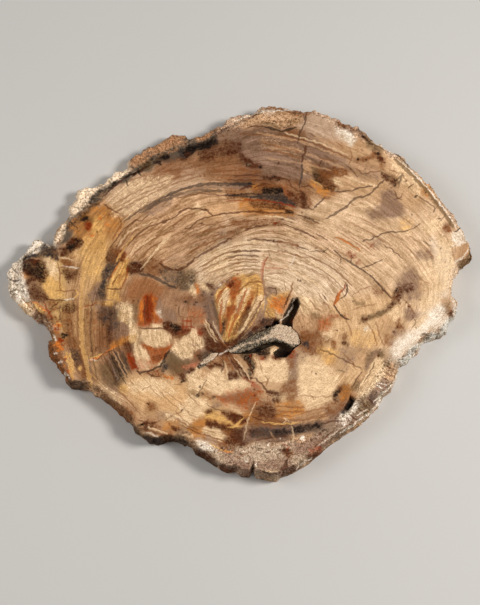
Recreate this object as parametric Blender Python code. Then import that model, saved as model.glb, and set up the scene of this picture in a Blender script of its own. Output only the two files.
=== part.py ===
# Petrified wood slice: a sawn and polished slab of stone with its natural bark edge, and the quartz in its crevice.

import bpy
import bmesh
import math
from mathutils import Vector, noise

# Driving dimensions, in metres.
THICKNESS = 0.036
MM = 0.001
STATION_SPACING = 0.0055
GAP = 0.0004

# Hand-placed points round the rim, in mm, clockwise from the notch beside the left lobe.
# Each row is a point on the edge of the polished face (x, y), then the farthest point of the bark beyond it (x, y).
RIM = [
    (-231, 52, -238, 57), (-223, 58, -235, 65), (-220, 72, -235, 76), (-215, 77, -230, 83),
    (-206, 82, -222, 94), (-193, 88, -217, 101), (-192, 98, -219, 108), (-185, 106, -215, 116),
    (-176, 105, -211, 122), (-175, 116, -212, 131), (-170, 120, -205, 135), (-164, 127, -195, 137),
    (-157, 134, -185, 137), (-152, 141, -176, 142), (-145, 144, -167, 151), (-136, 145, -160, 158),
    (-129, 151, -153, 161), (-123, 153, -146, 166), (-117, 156, -146, 177), (-113, 163, -137, 180),
    (-105, 165, -129, 187), (-100, 169, -121, 193), (-93, 173, -107, 198), (-85, 179, -93, 203),
    (-78, 179, -87, 210), (-72, 173, -79, 213), (-66, 176, -71, 213), (-57, 183, -67, 206),
    (-48, 183, -57, 207), (-40, 188, -49, 208), (-33, 195, -43, 214), (-26, 205, -32, 220),
    (-12, 215, -17, 230), (4, 222, -1, 237), (17, 228, 16, 240), (27, 236, 25, 247),
    (43, 239, 40, 250), (60, 239, 60, 250), (75, 234, 75, 245), (85, 235, 86, 245),
    (98, 232, 96, 244), (107, 228, 105, 240), (118, 227, 116, 238), (125, 221, 123, 234),
    (133, 214, 130, 228), (143, 208, 141, 223), (152, 207, 152, 221), (160, 198, 161, 214),
    (167, 190, 169, 204), (179, 187, 180, 201), (190, 180, 192, 191), (202, 170, 204, 182),
    (213, 160, 215, 170), (224, 151, 228, 159), (236, 139, 240, 147), (245, 127, 250, 134),
    (254, 113, 259, 119), (265, 98, 271, 102), (275, 82, 280, 88), (281, 72, 285, 76),
    (285, 60, 290, 62), (289, 49, 294, 52), (288, 37, 295, 41), (278, 28, 282, 33),
    (271, 20, 278, 25), (265, 12, 270, 15), (263, -3, 268, 1), (264, -17, 268, -10),
    (270, -23, 275, -16), (271, -32, 276, -27), (267, -37, 273, -34), (259, -41, 266, -42),
    (257, -51, 262, -49), (254, -57, 261, -57), (246, -59, 253, -63), (237, -64, 242, -67),
    (226, -67, 230, -71), (222, -76, 226, -77), (218, -82, 222, -83), (210, -89, 215, -91),
    (200, -96, 206, -98), (196, -102, 200, -103), (195, -110, 198, -110), (194, -119, 197, -119),
    (188, -128, 191, -128), (182, -136, 185, -137), (179, -140, 181, -141), (173, -144, 175, -145),
    (171, -152, 173, -152), (163, -162, 165, -163), (155, -170, 157, -171), (148, -176, 149, -177),
    (137, -185, 138, -186), (125, -193, 127, -194), (115, -201, 116, -202), (104, -210, 105, -211),
    (94, -218, 95, -219), (86, -225, 87, -226), (78, -230, 79, -231), (69, -236, 69, -237),
    (59, -241, 60, -242), (50, -244, 50, -245), (46, -248, 45, -249), (35, -247, 35, -248),
    (24, -244, 25, -245), (20, -243, 20, -244), (16, -235, 16, -236), (12, -244, 12, -245),
    (2, -243, 2, -244), (-5, -236, -5, -237), (-15, -238, -16, -239), (-23, -235, -24, -236),
    (-32, -229, -33, -230), (-40, -221, -41, -222), (-48, -217, -49, -218), (-54, -213, -56, -214),
    (-56, -207, -59, -207), (-65, -202, -66, -203), (-76, -198, -77, -199), (-90, -199, -91, -200),
    (-101, -202, -102, -203), (-111, -199, -112, -200), (-119, -194, -121, -195), (-128, -188, -130, -188),
    (-132, -177, -134, -177), (-137, -170, -140, -171), (-144, -163, -148, -164), (-152, -157, -155, -158),
    (-159, -150, -163, -152), (-168, -143, -172, -145), (-177, -136, -180, -138), (-186, -130, -189, -131),
    (-197, -128, -199, -129), (-207, -130, -211, -129), (-216, -119, -219, -118), (-222, -107, -227, -106),
    (-225, -98, -232, -96), (-230, -94, -238, -91), (-233, -85, -242, -81), (-233, -78, -242, -73),
    (-231, -74, -237, -68), (-234, -65, -239, -59), (-236, -55, -243, -51), (-243, -45, -251, -43),
    (-249, -37, -261, -36), (-258, -29, -271, -29), (-266, -20, -282, -20), (-272, -9, -290, -10),
    (-274, 1, -295, 3), (-277, 12, -296, 14), (-276, 22, -294, 23), (-273, 30, -287, 33),
    (-268, 37, -279, 43), (-258, 42, -272, 54), (-249, 49, -266, 62), (-241, 50, -257, 66),
    (-235, 47, -248, 62),
]

# Levels from the face down to the underside. A sheer wall is broken nearly square to the face: each of its levels is
# a share of the bark's reach and a height in mm. Where the bark reaches farther it is a shelf, a scooped slope with a
# rough crust standing beyond it: the third value is how much lower each mm of reach takes that level.
SHEER_LEVELS = [
    (0.0, 36.0), (0.25, 34.6), (0.40, 28.0), (0.55, 22.0), (0.75, 15.5), (0.90, 9.0), (1.0, 2.2), (0.8, 0.0),
]
SHELF_LEVELS = [
    (0.0, 36.0, 0.0), (0.12, 33.4, 0.0), (0.40, 31.0, 0.28), (0.55, 33.0, 0.25),
    (0.92, 31.5, 0.25), (1.0, 27.0, 0.25), (0.98, 3.0, 0.0), (0.94, 0.0, 0.0),
]
SHELF_STARTS = 0.006
SHELF_FULL = 0.013

# How far the bark's relief stands in or out at each level, in metres, and how closely it is ribbed.
RELIEF = [0.0005, 0.0010, 0.0024, 0.0032, 0.0036, 0.0034, 0.0028, 0.0020]
COLUMNS_PER_METRE = 75.0
BLOCKS_PER_METRE = 50.0

# Openings in the face, in mm: the crevice beside the pith, its prong and side branch, a short seam and a pit.
CREVICE = [
    (-17, -90), (-6, -82), (4, -76), (14, -69), (28, -63), (38, -58), (50, -54), (64, -58), (73, -66),
    (77, -80), (68, -87), (63, -94), (57, -99), (44, -99), (41, -92), (49, -86), (43, -83), (31, -87),
    (20, -93), (5, -94), (-8, -94),
]
PRONG = [(50, -60), (54, -43), (60, -31), (65, -20), (73, -18), (76, -27), (71, -40), (66, -50), (66, -64)]
SIDE_BRANCH = [(29, -66), (32, -57), (39, -56), (43, -48), (50, -48), (50, -60), (44, -68)]
SEAM = [(-54, -111), (-46, -101), (-35, -92), (-26, -92), (-31, -100), (-42, -108), (-51, -114)]
PIT = [(127, -166), (134, -154), (136, -147), (144, -152), (139, -162), (132, -169)]

# Depth of each opening in metres, and the size of its floor against its mouth.
CREVICE_DEPTH, CREVICE_FLOOR = 0.015, 0.92
PRONG_DEPTH, PRONG_FLOOR = 0.0145, 0.85
BRANCH_DEPTH, BRANCH_FLOOR = 0.0105, 0.8
SEAM_DEPTH, SEAM_FLOOR = 0.006, 0.92
PIT_DEPTH, PIT_FLOOR = 0.008, 0.6

# The two druses, quartz crusts in the crevice and the seam: outlines in mm at the level of the face, and the
# distance in metres from the face down to the roots of the crystals.
CREVICE_DRUSE = [
    (-13, -89), (-5, -83), (5, -77), (15, -70.5), (29, -64.5), (39, -59.5), (50, -55.5), (63, -59.5),
    (71, -67.5), (73.5, -78), (66, -83), (59, -77), (44, -74), (27, -78), (12, -85), (-2, -90),
]
SEAM_DRUSE = [(-51, -110.5), (-45, -102.5), (-35, -94), (-29, -93.5), (-33, -99), (-42, -106), (-49, -111.5)]
CREVICE_DRUSE_BELOW = 0.0022
SEAM_DRUSE_BELOW = 0.0018
CRYSTAL_SIZE = 0.0032
CLEAVAGE_ANGLES = (28, 112)

STONE = ("fossil wood", (0.66, 0.49, 0.33, 1.0), 0.28)
QUARTZ = ("quartz druse", (0.74, 0.68, 0.60, 1.0), 0.45)


def clear_scene():
    for thing in list(bpy.data.objects):
        bpy.data.objects.remove(thing)


def collection(name):
    made = bpy.data.collections.new(name)
    bpy.context.scene.collection.children.link(made)
    return made


def material(name, colour, roughness):
    made = bpy.data.materials.new(name)
    made.use_nodes = True
    shader = made.node_tree.nodes["Principled BSDF"]
    shader.inputs["Base Color"].default_value = colour
    shader.inputs["Roughness"].default_value = roughness
    shader.inputs["Metallic"].default_value = 0.0
    return made


def smoothstep(low, high, value):
    share = min(1.0, max(0.0, (value - low) / (high - low)))
    return share * share * (3.0 - 2.0 * share)


def rim_stations():
    """The rim's points with more between them, as pairs (face point, bark point) in metres."""
    stations = []
    for row, after in zip(RIM, RIM[1:] + RIM[:1]):
        face, bark = Vector(row[:2]) * MM, Vector(row[2:]) * MM
        next_face, next_bark = Vector(after[:2]) * MM, Vector(after[2:]) * MM
        length = max((next_face - face).length, (next_bark - bark).length)
        parts = max(1, round(length / STATION_SPACING))
        for part in range(parts):
            stations.append((face.lerp(next_face, part / parts), bark.lerp(next_bark, part / parts)))
    return stations


def outward_normals(points):
    """Unit vectors out of a clockwise outline, smoothed over two neighbours each way."""
    normals = []
    for i in range(len(points)):
        along = points[(i + 2) % len(points)] - points[i - 2]
        normals.append(Vector((-along.y, along.x)).normalized())
    return normals


def bark_relief(spot):
    """Upright columns and broken blocks of bark, from about -1 (set back) to 0.6 (standing out)."""
    columns = noise.noise(Vector((spot.x * COLUMNS_PER_METRE, spot.y * COLUMNS_PER_METRE, spot.z * 14.0)))
    blocks = noise.cell(Vector((spot.x * BLOCKS_PER_METRE, spot.y * BLOCKS_PER_METRE, spot.z * 70.0)))
    return 1.1 * columns + 0.4 * blocks - 0.35


def level_of(k, reach):
    """Share of the reach, and height in metres, of level k where the bark reaches that far out."""
    shelf = smoothstep(SHELF_STARTS, SHELF_FULL, reach)
    sheer_share, sheer_height = SHEER_LEVELS[k]
    shelf_share, shelf_height, fall = SHELF_LEVELS[k]
    share = sheer_share + (shelf_share - sheer_share) * shelf
    height = sheer_height + (shelf_height - fall * reach / MM - sheer_height) * shelf
    return share, height * MM


def slab_rings():
    stations = rim_stations()
    normals = outward_normals([bark for face, bark in stations])
    rings = []
    for k, relief in enumerate(RELIEF):
        ring = []
        for (face, bark), normal in zip(stations, normals):
            share, height = level_of(k, (bark - face).length)
            flat = face.lerp(bark, share)
            flat += normal * relief * bark_relief(Vector((flat.x, flat.y, height)))
            ring.append(Vector((flat.x, flat.y, height)))
        rings.append(ring)
    return rings


def loft(name, rings):
    """A closed solid through rings of equal count, from the highest to the lowest, with a flat cap at each end."""
    mesh = bmesh.new()
    rows = [[mesh.verts.new(point) for point in ring] for ring in rings]
    count = len(rows[0])
    mesh.faces.new(rows[0])
    mesh.faces.new(rows[-1])
    for upper, lower in zip(rows, rows[1:]):
        for i in range(count):
            j = (i + 1) % count
            mesh.faces.new((upper[i], upper[j], lower[j], lower[i]))
    bmesh.ops.recalc_face_normals(mesh, faces=mesh.faces)
    data = bpy.data.meshes.new(name)
    mesh.to_mesh(data)
    mesh.free()
    return bpy.data.objects.new(name, data)


def tapered_ring(outline, centre, scale, height):
    """An outline in mm as a ring in metres, drawn in towards a centre."""
    ring = []
    for x, y in outline:
        flat = centre + (Vector((x, y)) * MM - centre) * scale
        ring.append(Vector((flat.x, flat.y, height)))
    return ring


def middle(outline):
    return sum((Vector(point) for point in outline), Vector((0, 0))) * MM / len(outline)


def cut_opening(slab, cutters, name, outline, depth, floor):
    """Cuts a hole that narrows downwards in the polished face. Its cutter stands 2 mm above the face."""
    centre = middle(outline)
    mouth = 1.0 + (1.0 - floor) * 0.002 / depth
    cutter = loft(name, [
        tapered_ring(outline, centre, mouth, THICKNESS + 0.002),
        tapered_ring(outline, centre, floor, THICKNESS - depth),
    ])
    cutter.display_type = "WIRE"
    cutter.hide_render = True
    cutters.objects.link(cutter)
    cut = slab.modifiers.new(name, "BOOLEAN")
    cut.operation = "DIFFERENCE"
    cut.object = cutter


def make_slab(parts, cutters):
    slab = loft("fossil_wood_slab", slab_rings())
    slab.data.materials.append(material(*STONE))
    parts.objects.link(slab)
    cut_opening(slab, cutters, "crevice_cut", CREVICE, CREVICE_DEPTH, CREVICE_FLOOR)
    cut_opening(slab, cutters, "prong_cut", PRONG, PRONG_DEPTH, PRONG_FLOOR)
    cut_opening(slab, cutters, "branch_cut", SIDE_BRANCH, BRANCH_DEPTH, BRANCH_FLOOR)
    cut_opening(slab, cutters, "seam_cut", SEAM, SEAM_DEPTH, SEAM_FLOOR)
    cut_opening(slab, cutters, "pit_cut", PIT, PIT_DEPTH, PIT_FLOOR)


def cut_into_cells(mesh):
    """Divides the crust's flat top into cells of about one crystal each and makes it uneven."""
    for angle in CLEAVAGE_ANGLES:
        across = Vector((math.cos(math.radians(angle)), math.sin(math.radians(angle)), 0.0))
        reaches = [vert.co.dot(across) for vert in mesh.verts]
        for number in range(1, int((max(reaches) - min(reaches)) / CRYSTAL_SIZE) + 1):
            tops = [face for face in mesh.faces if face.normal.z > 0.9]
            edges = {edge for face in tops for edge in face.edges}
            verts = {vert for face in tops for vert in face.verts}
            place = across * (min(reaches) + number * CRYSTAL_SIZE)
            bmesh.ops.bisect_plane(
                mesh, geom=[*verts, *edges, *tops], plane_co=place, plane_no=across, dist=0.00001)
    for vert in mesh.verts:
        if all(face.normal.z > 0.9 for face in vert.link_faces):
            vert.co.z += 0.0006 * noise.noise(vert.co * 400.0)


def make_druse(parts, name, outline, hole, hole_depth, hole_floor, below_face):
    """A crust of quartz points standing on the floor of its hole, a little below the polished face."""
    centre = middle(hole)
    crust = loft(name, [
        tapered_ring(outline, centre, 1.0 - (1.0 - hole_floor) * below_face / hole_depth, THICKNESS - below_face),
        tapered_ring(outline, centre, hole_floor, THICKNESS - hole_depth + GAP),
    ])
    mesh = bmesh.new()
    mesh.from_mesh(crust.data)
    cut_into_cells(mesh)
    cells = sorted((face for face in mesh.faces if face.normal.z > 0.9), key=lambda f: tuple(f.calc_center_median()))
    for number, face in enumerate(cells):
        point = 0.0007 + 0.0004 * (number % 3) + 0.0009 * abs(noise.noise(face.calc_center_median() * 700.0))
        bmesh.ops.poke(mesh, faces=[face], offset=point)
    mesh.to_mesh(crust.data)
    mesh.free()
    crust.data.materials.append(material(*QUARTZ))
    parts.objects.link(crust)


def main():
    clear_scene()
    parts = collection("petrified wood slice")
    cutters = collection("cutters")
    make_slab(parts, cutters)
    make_druse(
        parts, "crevice_druse", CREVICE_DRUSE, CREVICE, CREVICE_DEPTH, CREVICE_FLOOR, CREVICE_DRUSE_BELOW)
    make_druse(parts, "seam_druse", SEAM_DRUSE, SEAM, SEAM_DEPTH, SEAM_FLOOR, SEAM_DRUSE_BELOW)


main()
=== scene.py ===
# Petrified wood slice: the looks of the polished face, the bark and the quartz in the crevice.

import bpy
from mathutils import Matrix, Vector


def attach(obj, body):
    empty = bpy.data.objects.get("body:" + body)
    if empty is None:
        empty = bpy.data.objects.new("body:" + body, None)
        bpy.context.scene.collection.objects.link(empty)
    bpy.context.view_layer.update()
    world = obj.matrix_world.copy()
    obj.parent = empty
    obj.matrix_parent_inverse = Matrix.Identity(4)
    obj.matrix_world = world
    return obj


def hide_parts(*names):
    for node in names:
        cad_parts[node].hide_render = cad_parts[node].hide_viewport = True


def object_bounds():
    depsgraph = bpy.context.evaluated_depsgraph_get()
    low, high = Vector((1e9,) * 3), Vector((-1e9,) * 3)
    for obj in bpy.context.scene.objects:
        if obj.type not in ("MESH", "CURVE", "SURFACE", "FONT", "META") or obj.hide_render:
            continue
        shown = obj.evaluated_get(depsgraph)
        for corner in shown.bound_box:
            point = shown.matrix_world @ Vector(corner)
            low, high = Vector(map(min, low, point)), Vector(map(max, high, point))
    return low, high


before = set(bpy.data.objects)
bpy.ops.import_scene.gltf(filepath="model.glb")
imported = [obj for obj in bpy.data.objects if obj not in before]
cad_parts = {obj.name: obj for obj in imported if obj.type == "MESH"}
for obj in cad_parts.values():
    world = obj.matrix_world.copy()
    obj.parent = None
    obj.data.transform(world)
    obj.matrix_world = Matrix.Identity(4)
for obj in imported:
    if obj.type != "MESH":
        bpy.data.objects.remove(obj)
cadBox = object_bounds()
faceHeight = cadBox[1].z

import math

import bmesh
import bpy
import numpy as np
from mathutils import Euler, Matrix, Vector, noise

# Where the photograph was taken from. Marks on the stone are placed in its pixels, 480 wide and 605 high.
photo = dict(
    width=480, height=605,
    elevation=math.radians(70),
    lens=135, sensor=36,       # mm
    nearest=0.05, farthest=50,
    pixelSize=0.001255,        # metres of the face in one pixel, at the picture's middle
    aim=(0, -0.026, 0.036),    # the point of the face in the picture's middle
)
focalPixels = photo['lens'] / photo['sensor'] * photo['height']
viewUp = np.array([0, math.sin(photo['elevation']), math.cos(photo['elevation'])])
viewAlong = np.array([0, math.cos(photo['elevation']), -math.sin(photo['elevation'])])
viewFrom = np.array(photo['aim']) - viewAlong * focalPixels * photo['pixelSize']


def makeCamera():
    data = bpy.data.cameras.new('photoCamera')
    data.lens = photo['lens']
    data.sensor_width = photo['sensor']
    data.clip_start = photo['nearest']
    data.clip_end = photo['farthest']
    camera = bpy.data.objects.new('photoCamera', data)
    camera.location = viewFrom
    camera.rotation_euler = (math.pi / 2 - photo['elevation'], 0, 0)
    bpy.context.scene.collection.objects.link(camera)
    bpy.context.scene.camera = camera


def pixelsOf(points):
    # picture coordinates, across and down, of points in metres
    offset = points - viewFrom
    depth = offset @ viewAlong
    across = photo['width'] / 2 + focalPixels * offset[:, 0] / depth
    down = photo['height'] / 2 - focalPixels * (offset @ viewUp) / depth
    return np.stack([across, down], axis=1)


# Studio: a pale floor and soft lamps, with the key on the right as in the photograph.
studio = dict(
    floorColour=(0.62, 0.61, 0.59), floorRoughness=0.9, floorRadius=6, floorSides=64,
    ambient=0.2, ambientColour=(1.0, 0.98, 0.96),
    lamps=[
        dict(name='keyLamp', power=43, place=(1.5, -0.1, 1.9), size=0.6, colour=(1.0, 0.97, 0.93)),
        dict(name='fillLamp', power=20, place=(-1.7, -0.2, 1.7), size=1.4, colour=(1.0, 0.97, 0.94)),
    ],
)


def makeLamp(name, power, place, size, colour):
    data = bpy.data.lights.new(name, 'AREA')
    data.energy = power
    data.size = size
    data.color = colour
    lamp = bpy.data.objects.new(name, data)
    lamp.location = place
    lamp.rotation_euler = (-Vector(place)).to_track_quat('-Z', 'Y').to_euler()
    bpy.context.scene.collection.objects.link(lamp)


def makeStudio():
    mesh = bmesh.new()
    bmesh.ops.create_circle(mesh, cap_ends=True, segments=studio['floorSides'], radius=studio['floorRadius'])
    floor = finishPiece(mesh, 'floor', floorFinish())
    world = bpy.data.worlds.new('studio')
    world.use_nodes = True
    background = world.node_tree.nodes['Background']
    background.inputs['Color'].default_value = (*studio['ambientColour'], 1)
    background.inputs['Strength'].default_value = studio['ambient']
    bpy.context.scene.world = world
    bpy.context.scene.view_settings.view_transform = 'Standard'
    for lamp in studio['lamps']:
        makeLamp(**lamp)
    print('studio made, with', len(studio['lamps']), 'lamps')


def finishPiece(mesh, name, material):
    data = bpy.data.meshes.new(name)
    mesh.to_mesh(data)
    mesh.free()
    data.materials.append(material)
    piece = bpy.data.objects.new(name, data)
    bpy.context.scene.collection.objects.link(piece)
    return piece


# Shader sums: a Wire holds one socket, and a sum on wires adds Math nodes.
class Wire:
    def __init__(self, tree, socket):
        self.tree = tree
        self.socket = socket

    def node(self, kind, settings=None, inputs=None, output=0):
        made = self.tree.nodes.new(kind)
        for key, value in (settings or {}).items():
            setattr(made, key, value)
        for key, value in (inputs or {}).items():
            if isinstance(value, Wire):
                self.tree.links.new(value.socket, made.inputs[key])
            else:
                made.inputs[key].default_value = value
        return Wire(self.tree, made.outputs[output])

    def maths(self, operation, a, b=0.0):
        return self.node('ShaderNodeMath', dict(operation=operation), {0: a, 1: b})

    def __add__(self, other):
        return self.maths('ADD', self, other)

    def __radd__(self, other):
        return self.maths('ADD', other, self)

    def __sub__(self, other):
        return self.maths('SUBTRACT', self, other)

    def __rsub__(self, other):
        return self.maths('SUBTRACT', other, self)

    def __mul__(self, other):
        return self.maths('MULTIPLY', self, other)

    def __rmul__(self, other):
        return self.maths('MULTIPLY', other, self)

    def __truediv__(self, other):
        return self.maths('DIVIDE', self, other)

    def __rtruediv__(self, other):
        return self.maths('DIVIDE', other, self)

    def atMost(self, other):
        return self.maths('MINIMUM', self, other)

    def atLeast(self, other):
        return self.maths('MAXIMUM', self, other)

    def size(self):
        return self.maths('ABSOLUTE', self)

    def ramp(self, low, high, start=0.0, end=1.0):
        # eased from start to end while this value goes from low to high
        return self.node('ShaderNodeMapRange', dict(interpolation_type='SMOOTHSTEP'), {
            'Value': self, 'From Min': low, 'From Max': high, 'To Min': start, 'To Max': end})

    def noise(self, scale, detail, roughness=0.55):
        return self.node('ShaderNodeTexNoise', {}, {
            'Vector': self, 'Scale': scale, 'Detail': detail, 'Roughness': roughness})

    def seam(self, width):
        # 1 along the thin winding lines where this noise passes its middle, and 0 away from them
        return (1 - (self - 0.5).size() / width).atLeast(0.0)

    def blend(self, factor, other, how='MIX'):
        # this colour with another laid over it
        return self.node('ShaderNodeMix', dict(data_type='RGBA', blend_type=how, clamp_result=False), {
            0: factor, 6: self, 7: other}, output=2)

    def shaded(self, tone, warmth=0.0):
        # this colour made darker and warmer, or lighter and cooler, by a value around 1
        made = self.packed(tone, tone + (tone - 1) * (warmth * 0.4), tone + (tone - 1) * warmth)
        return self.blend(1.0, made, 'MULTIPLY')

    def colour(self, red, green, blue):
        # a plain colour, given as light values from 0 to 1
        made = self.node('ShaderNodeRGB')
        made.socket.default_value = (red, green, blue, 1)
        return made

    def parts(self):
        split = self.tree.nodes.new('ShaderNodeSeparateXYZ')
        self.tree.links.new(self.socket, split.inputs[0])
        return [Wire(self.tree, socket) for socket in split.outputs]

    def packed(self, x, y, z):
        return self.node('ShaderNodeCombineXYZ', {}, {0: x, 1: y, 2: z})

    def attribute(self, name):
        return self.node('ShaderNodeAttribute', dict(attribute_name=name), {}, output=1)

    def objectPlace(self):
        return self.node('ShaderNodeTexCoord', output=3)


def newMaterial(name):
    material = bpy.data.materials.new(name)
    material.use_nodes = True
    tree = material.node_tree
    shader = tree.nodes['Principled BSDF']
    return material, shader, Wire(tree, shader.outputs[0])


def plug(wire, shader, socket):
    wire.tree.links.new(wire.socket, shader.inputs[socket])


def linearColour(*screen):
    # light values of a colour given as it looks on a screen, from 0 to 255
    shares = [value / 255 for value in screen]
    return [s / 12.92 if s <= 0.04045 else ((s + 0.055) / 1.055) ** 2.4 for s in shares]


def floorFinish():
    material, shader, start = newMaterial('floorPaper')
    tone = start.objectPlace().noise(3.0, 2.0) * 0.03 + 0.985
    plug(start.colour(*studio['floorColour']).shaded(tone), shader, 'Base Color')
    shader.inputs['Roughness'].default_value = studio['floorRoughness']
    return material


# Stains in the stone, as screen colours. Where two meet, the later one in this list lies on top.
stains = dict(
    mauve=(146, 113, 91), tan=(194, 150, 110), umber=(130, 78, 40),
    olive=(114, 88, 58), ochre=(190, 122, 54), gold=(228, 176, 104),
    cream=(240, 204, 160), chalk=(242, 224, 202), pink=(182, 112, 80),
    clay=(168, 88, 38), orange=(208, 116, 44), rust=(140, 50, 6),
    walnut=(80, 36, 12), slate=(60, 49, 44), dark=(24, 13, 8),
)
stainNames = list(stains)
crackColour = (82, 55, 37)

# Broad colours of the stone under its stains: screen colour, how strongly it is banded, feather in pixels, and an
# outline in photograph pixels, across and down in turn.
grounds = dict(
    peach=((226, 188, 149), .6, 8, [300,205, 345,195, 425,190, 465,235, 455,300, 395,350, 330,320, 290,260]),
    topBrown=((142, 107, 84), .7, 7, [232,126, 300,128, 345,138, 352,172, 318,182, 235,186, 222,160]),
    topTan=((178, 134, 99), .7, 8, [150,166, 190,146, 225,130, 240,160, 238,184, 205,180, 170,188]),
    rimRose=((206, 172, 144), .4, 4, [306,113, 332,118, 354,132, 355,158, 344,158, 312,138, 300,124]),
    topRight=((210, 168, 126), .4, 8, [345,128, 400,152, 440,195, 400,215, 350,190, 330,160]),
    upperLeftCream=((208, 170, 136), .5, 7, [108,192, 150,168, 205,168, 200,182, 150,206, 112,218]),
    rimTan=((166, 119, 85), .5, 4, [142,174, 160,167, 182,168, 182,177, 160,181, 144,182]),
    ringTan=((212, 167, 126), 1, 8, [122,225, 150,206, 200,188, 235,190, 240,232, 185,264, 128,268]),
    goldStreak=((220, 172, 126), .4, 3, [206,206, 224,203, 240,200, 254,204, 254,214, 236,216, 218,217,
        204,214]),
    upperRings=((214, 175, 138), .9, 6, [225,215, 300,215, 330,235, 350,262, 340,290, 300,270, 262,256,
        225,250]),
    middleCream=((233, 201, 166), .7, 7, [190,264, 235,238, 300,240, 345,270, 350,310, 300,300, 262,285,
        200,290]),
    lobeGold=((228, 184, 122), .2, 6, [38,258, 66,256, 74,300, 62,350, 46,300]),
    leftGold=((192, 146, 98), .7, 8, [78,215, 118,205, 125,230, 104,262, 98,300, 70,305, 66,260]),
    goldBand=((222, 176, 122), .5, 5, [80,238, 104,234, 104,262, 98,278, 90,302, 80,302]),
    leftBand=((190, 145, 98), .8, 7, [72,295, 96,295, 96,345, 104,388, 80,372, 70,330]),
    leftBrown=((146, 103, 71), .8, 7, [97,300, 128,298, 132,340, 134,372, 112,390, 98,350]),
    capBrown=((158, 105, 66), .3, 5, [122,285, 135,276, 155,280, 178,290, 165,300, 140,300, 135,325, 125,320]),
    heartTan=((172, 129, 95), .3, 6, [165,292, 215,290, 220,335, 190,335, 160,315]),
    heartGrey=((140, 109, 84), .3, 5, [160,350, 195,352, 215,345, 205,372, 165,375]),
    lowerGold=((224, 178, 127), .3, 8, [118,376, 150,372, 190,382, 225,392, 232,420, 190,432, 140,412]),
    lowerCream=((233, 196, 153), .2, 8, [205,368, 262,362, 300,352, 350,365, 338,405, 285,412, 215,396]),
    lowerRight=((222, 180, 134), .4, 8, [330,300, 395,292, 405,330, 372,370, 345,392, 320,350]),
    rightChalk=((232, 206, 178), .12, 6, [432,240, 455,250, 452,305, 425,332, 392,356, 388,345, 418,320,
        438,290]),
    lowBand=((118, 89, 70), .6, 5, [232,430, 262,426, 320,418, 342,408, 345,420, 300,438, 240,444]),
    greyWall=((216, 208, 193), 0, 3, [446,320, 453,302, 462,318, 446,332, 432,342, 420,348, 402,370, 394,364,
        398,358, 420,342, 440,330]),
    lowBark=((192, 164, 136), 0, 4, [196,446, 235,446, 300,440, 338,420, 352,408, 350,424, 282,482, 225,472]),
    lowBarkRight=((150, 122, 98), 0, 4, [296,430, 330,420, 352,412, 350,428, 330,446, 300,446]),
    rightBark=((178, 151, 124), 0, 4, [345,412, 372,380, 392,352, 402,366, 395,388, 350,432]),
    # painted shade: the lower left walls are coloured dark brown as if in shadow
    leftWallPaintedShade=((84, 62, 45), 0, 3, [48,322, 56,356, 66,382, 112,402, 140,432, 200,450, 222,466, 130,460, 60,400,
        40,330]),
    # painted light: the lobe's lower wall keeps its crust colour, made lighter than the shaded wall round it because
    # the lamps leave it in shade
    lobeFoot=((156, 110, 70), 0, 2, [46,322, 58,330, 60,356, 70,384, 84,392, 66,396, 48,366, 40,330]),
    # painted shade: the recess between the face's edge and the crust is coloured dark grey as shade
    slopePaintedShade=((98, 84, 70), 0, 2, [58,248, 62,232, 70,216, 88,196, 108,184, 128,170, 150,156, 172,147, 190,139, 216,134,
        218,145, 200,150, 184,157, 162,165, 140,173, 122,186, 112,192, 96,206, 78,228, 66,244]),
    crust=((252, 224, 190), 0, 2, [4,270, 20,240, 52,240, 56,225, 66,200, 90,176, 125,150, 132,166, 110,186, 92,194,
        72,216, 60,240, 44,250, 26,262, 24,300, 60,330, 30,330]),
    topCrust=((176, 128, 90), 0, 2, [125,150, 150,136, 180,126, 215,118, 216,134, 180,143, 150,157, 132,166]),
    rimCrust=((202, 168, 138), 0, 2, [216,118, 260,100, 300,100, 340,112, 380,132, 430,170, 470,222, 462,228,
        420,176, 380,146, 340,124, 300,113, 262,112, 216,132]),
)

# Where the face is weathered and not polished.
weathered = dict(
    topRim=[212,132, 230,122, 262,108, 300,108, 312,112, 300,124, 284,128, 262,122, 240,130, 216,136],
    rightRim=[312,108, 372,136, 412,166, 440,196, 462,226, 454,226, 430,190, 400,162, 366,144, 340,130],
    lowerRight=[336,414, 350,410, 362,396, 378,374, 388,356, 400,364, 398,386, 366,416, 338,440, 300,468,
        330,436],
    foot=[196,440, 214,446, 240,444, 262,442, 284,440, 318,432, 340,424, 330,444, 282,484, 224,474],
    leftLobe=[4,270, 20,240, 52,240, 42,250, 24,262, 24,280, 32,300, 60,326, 30,330],
)

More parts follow.
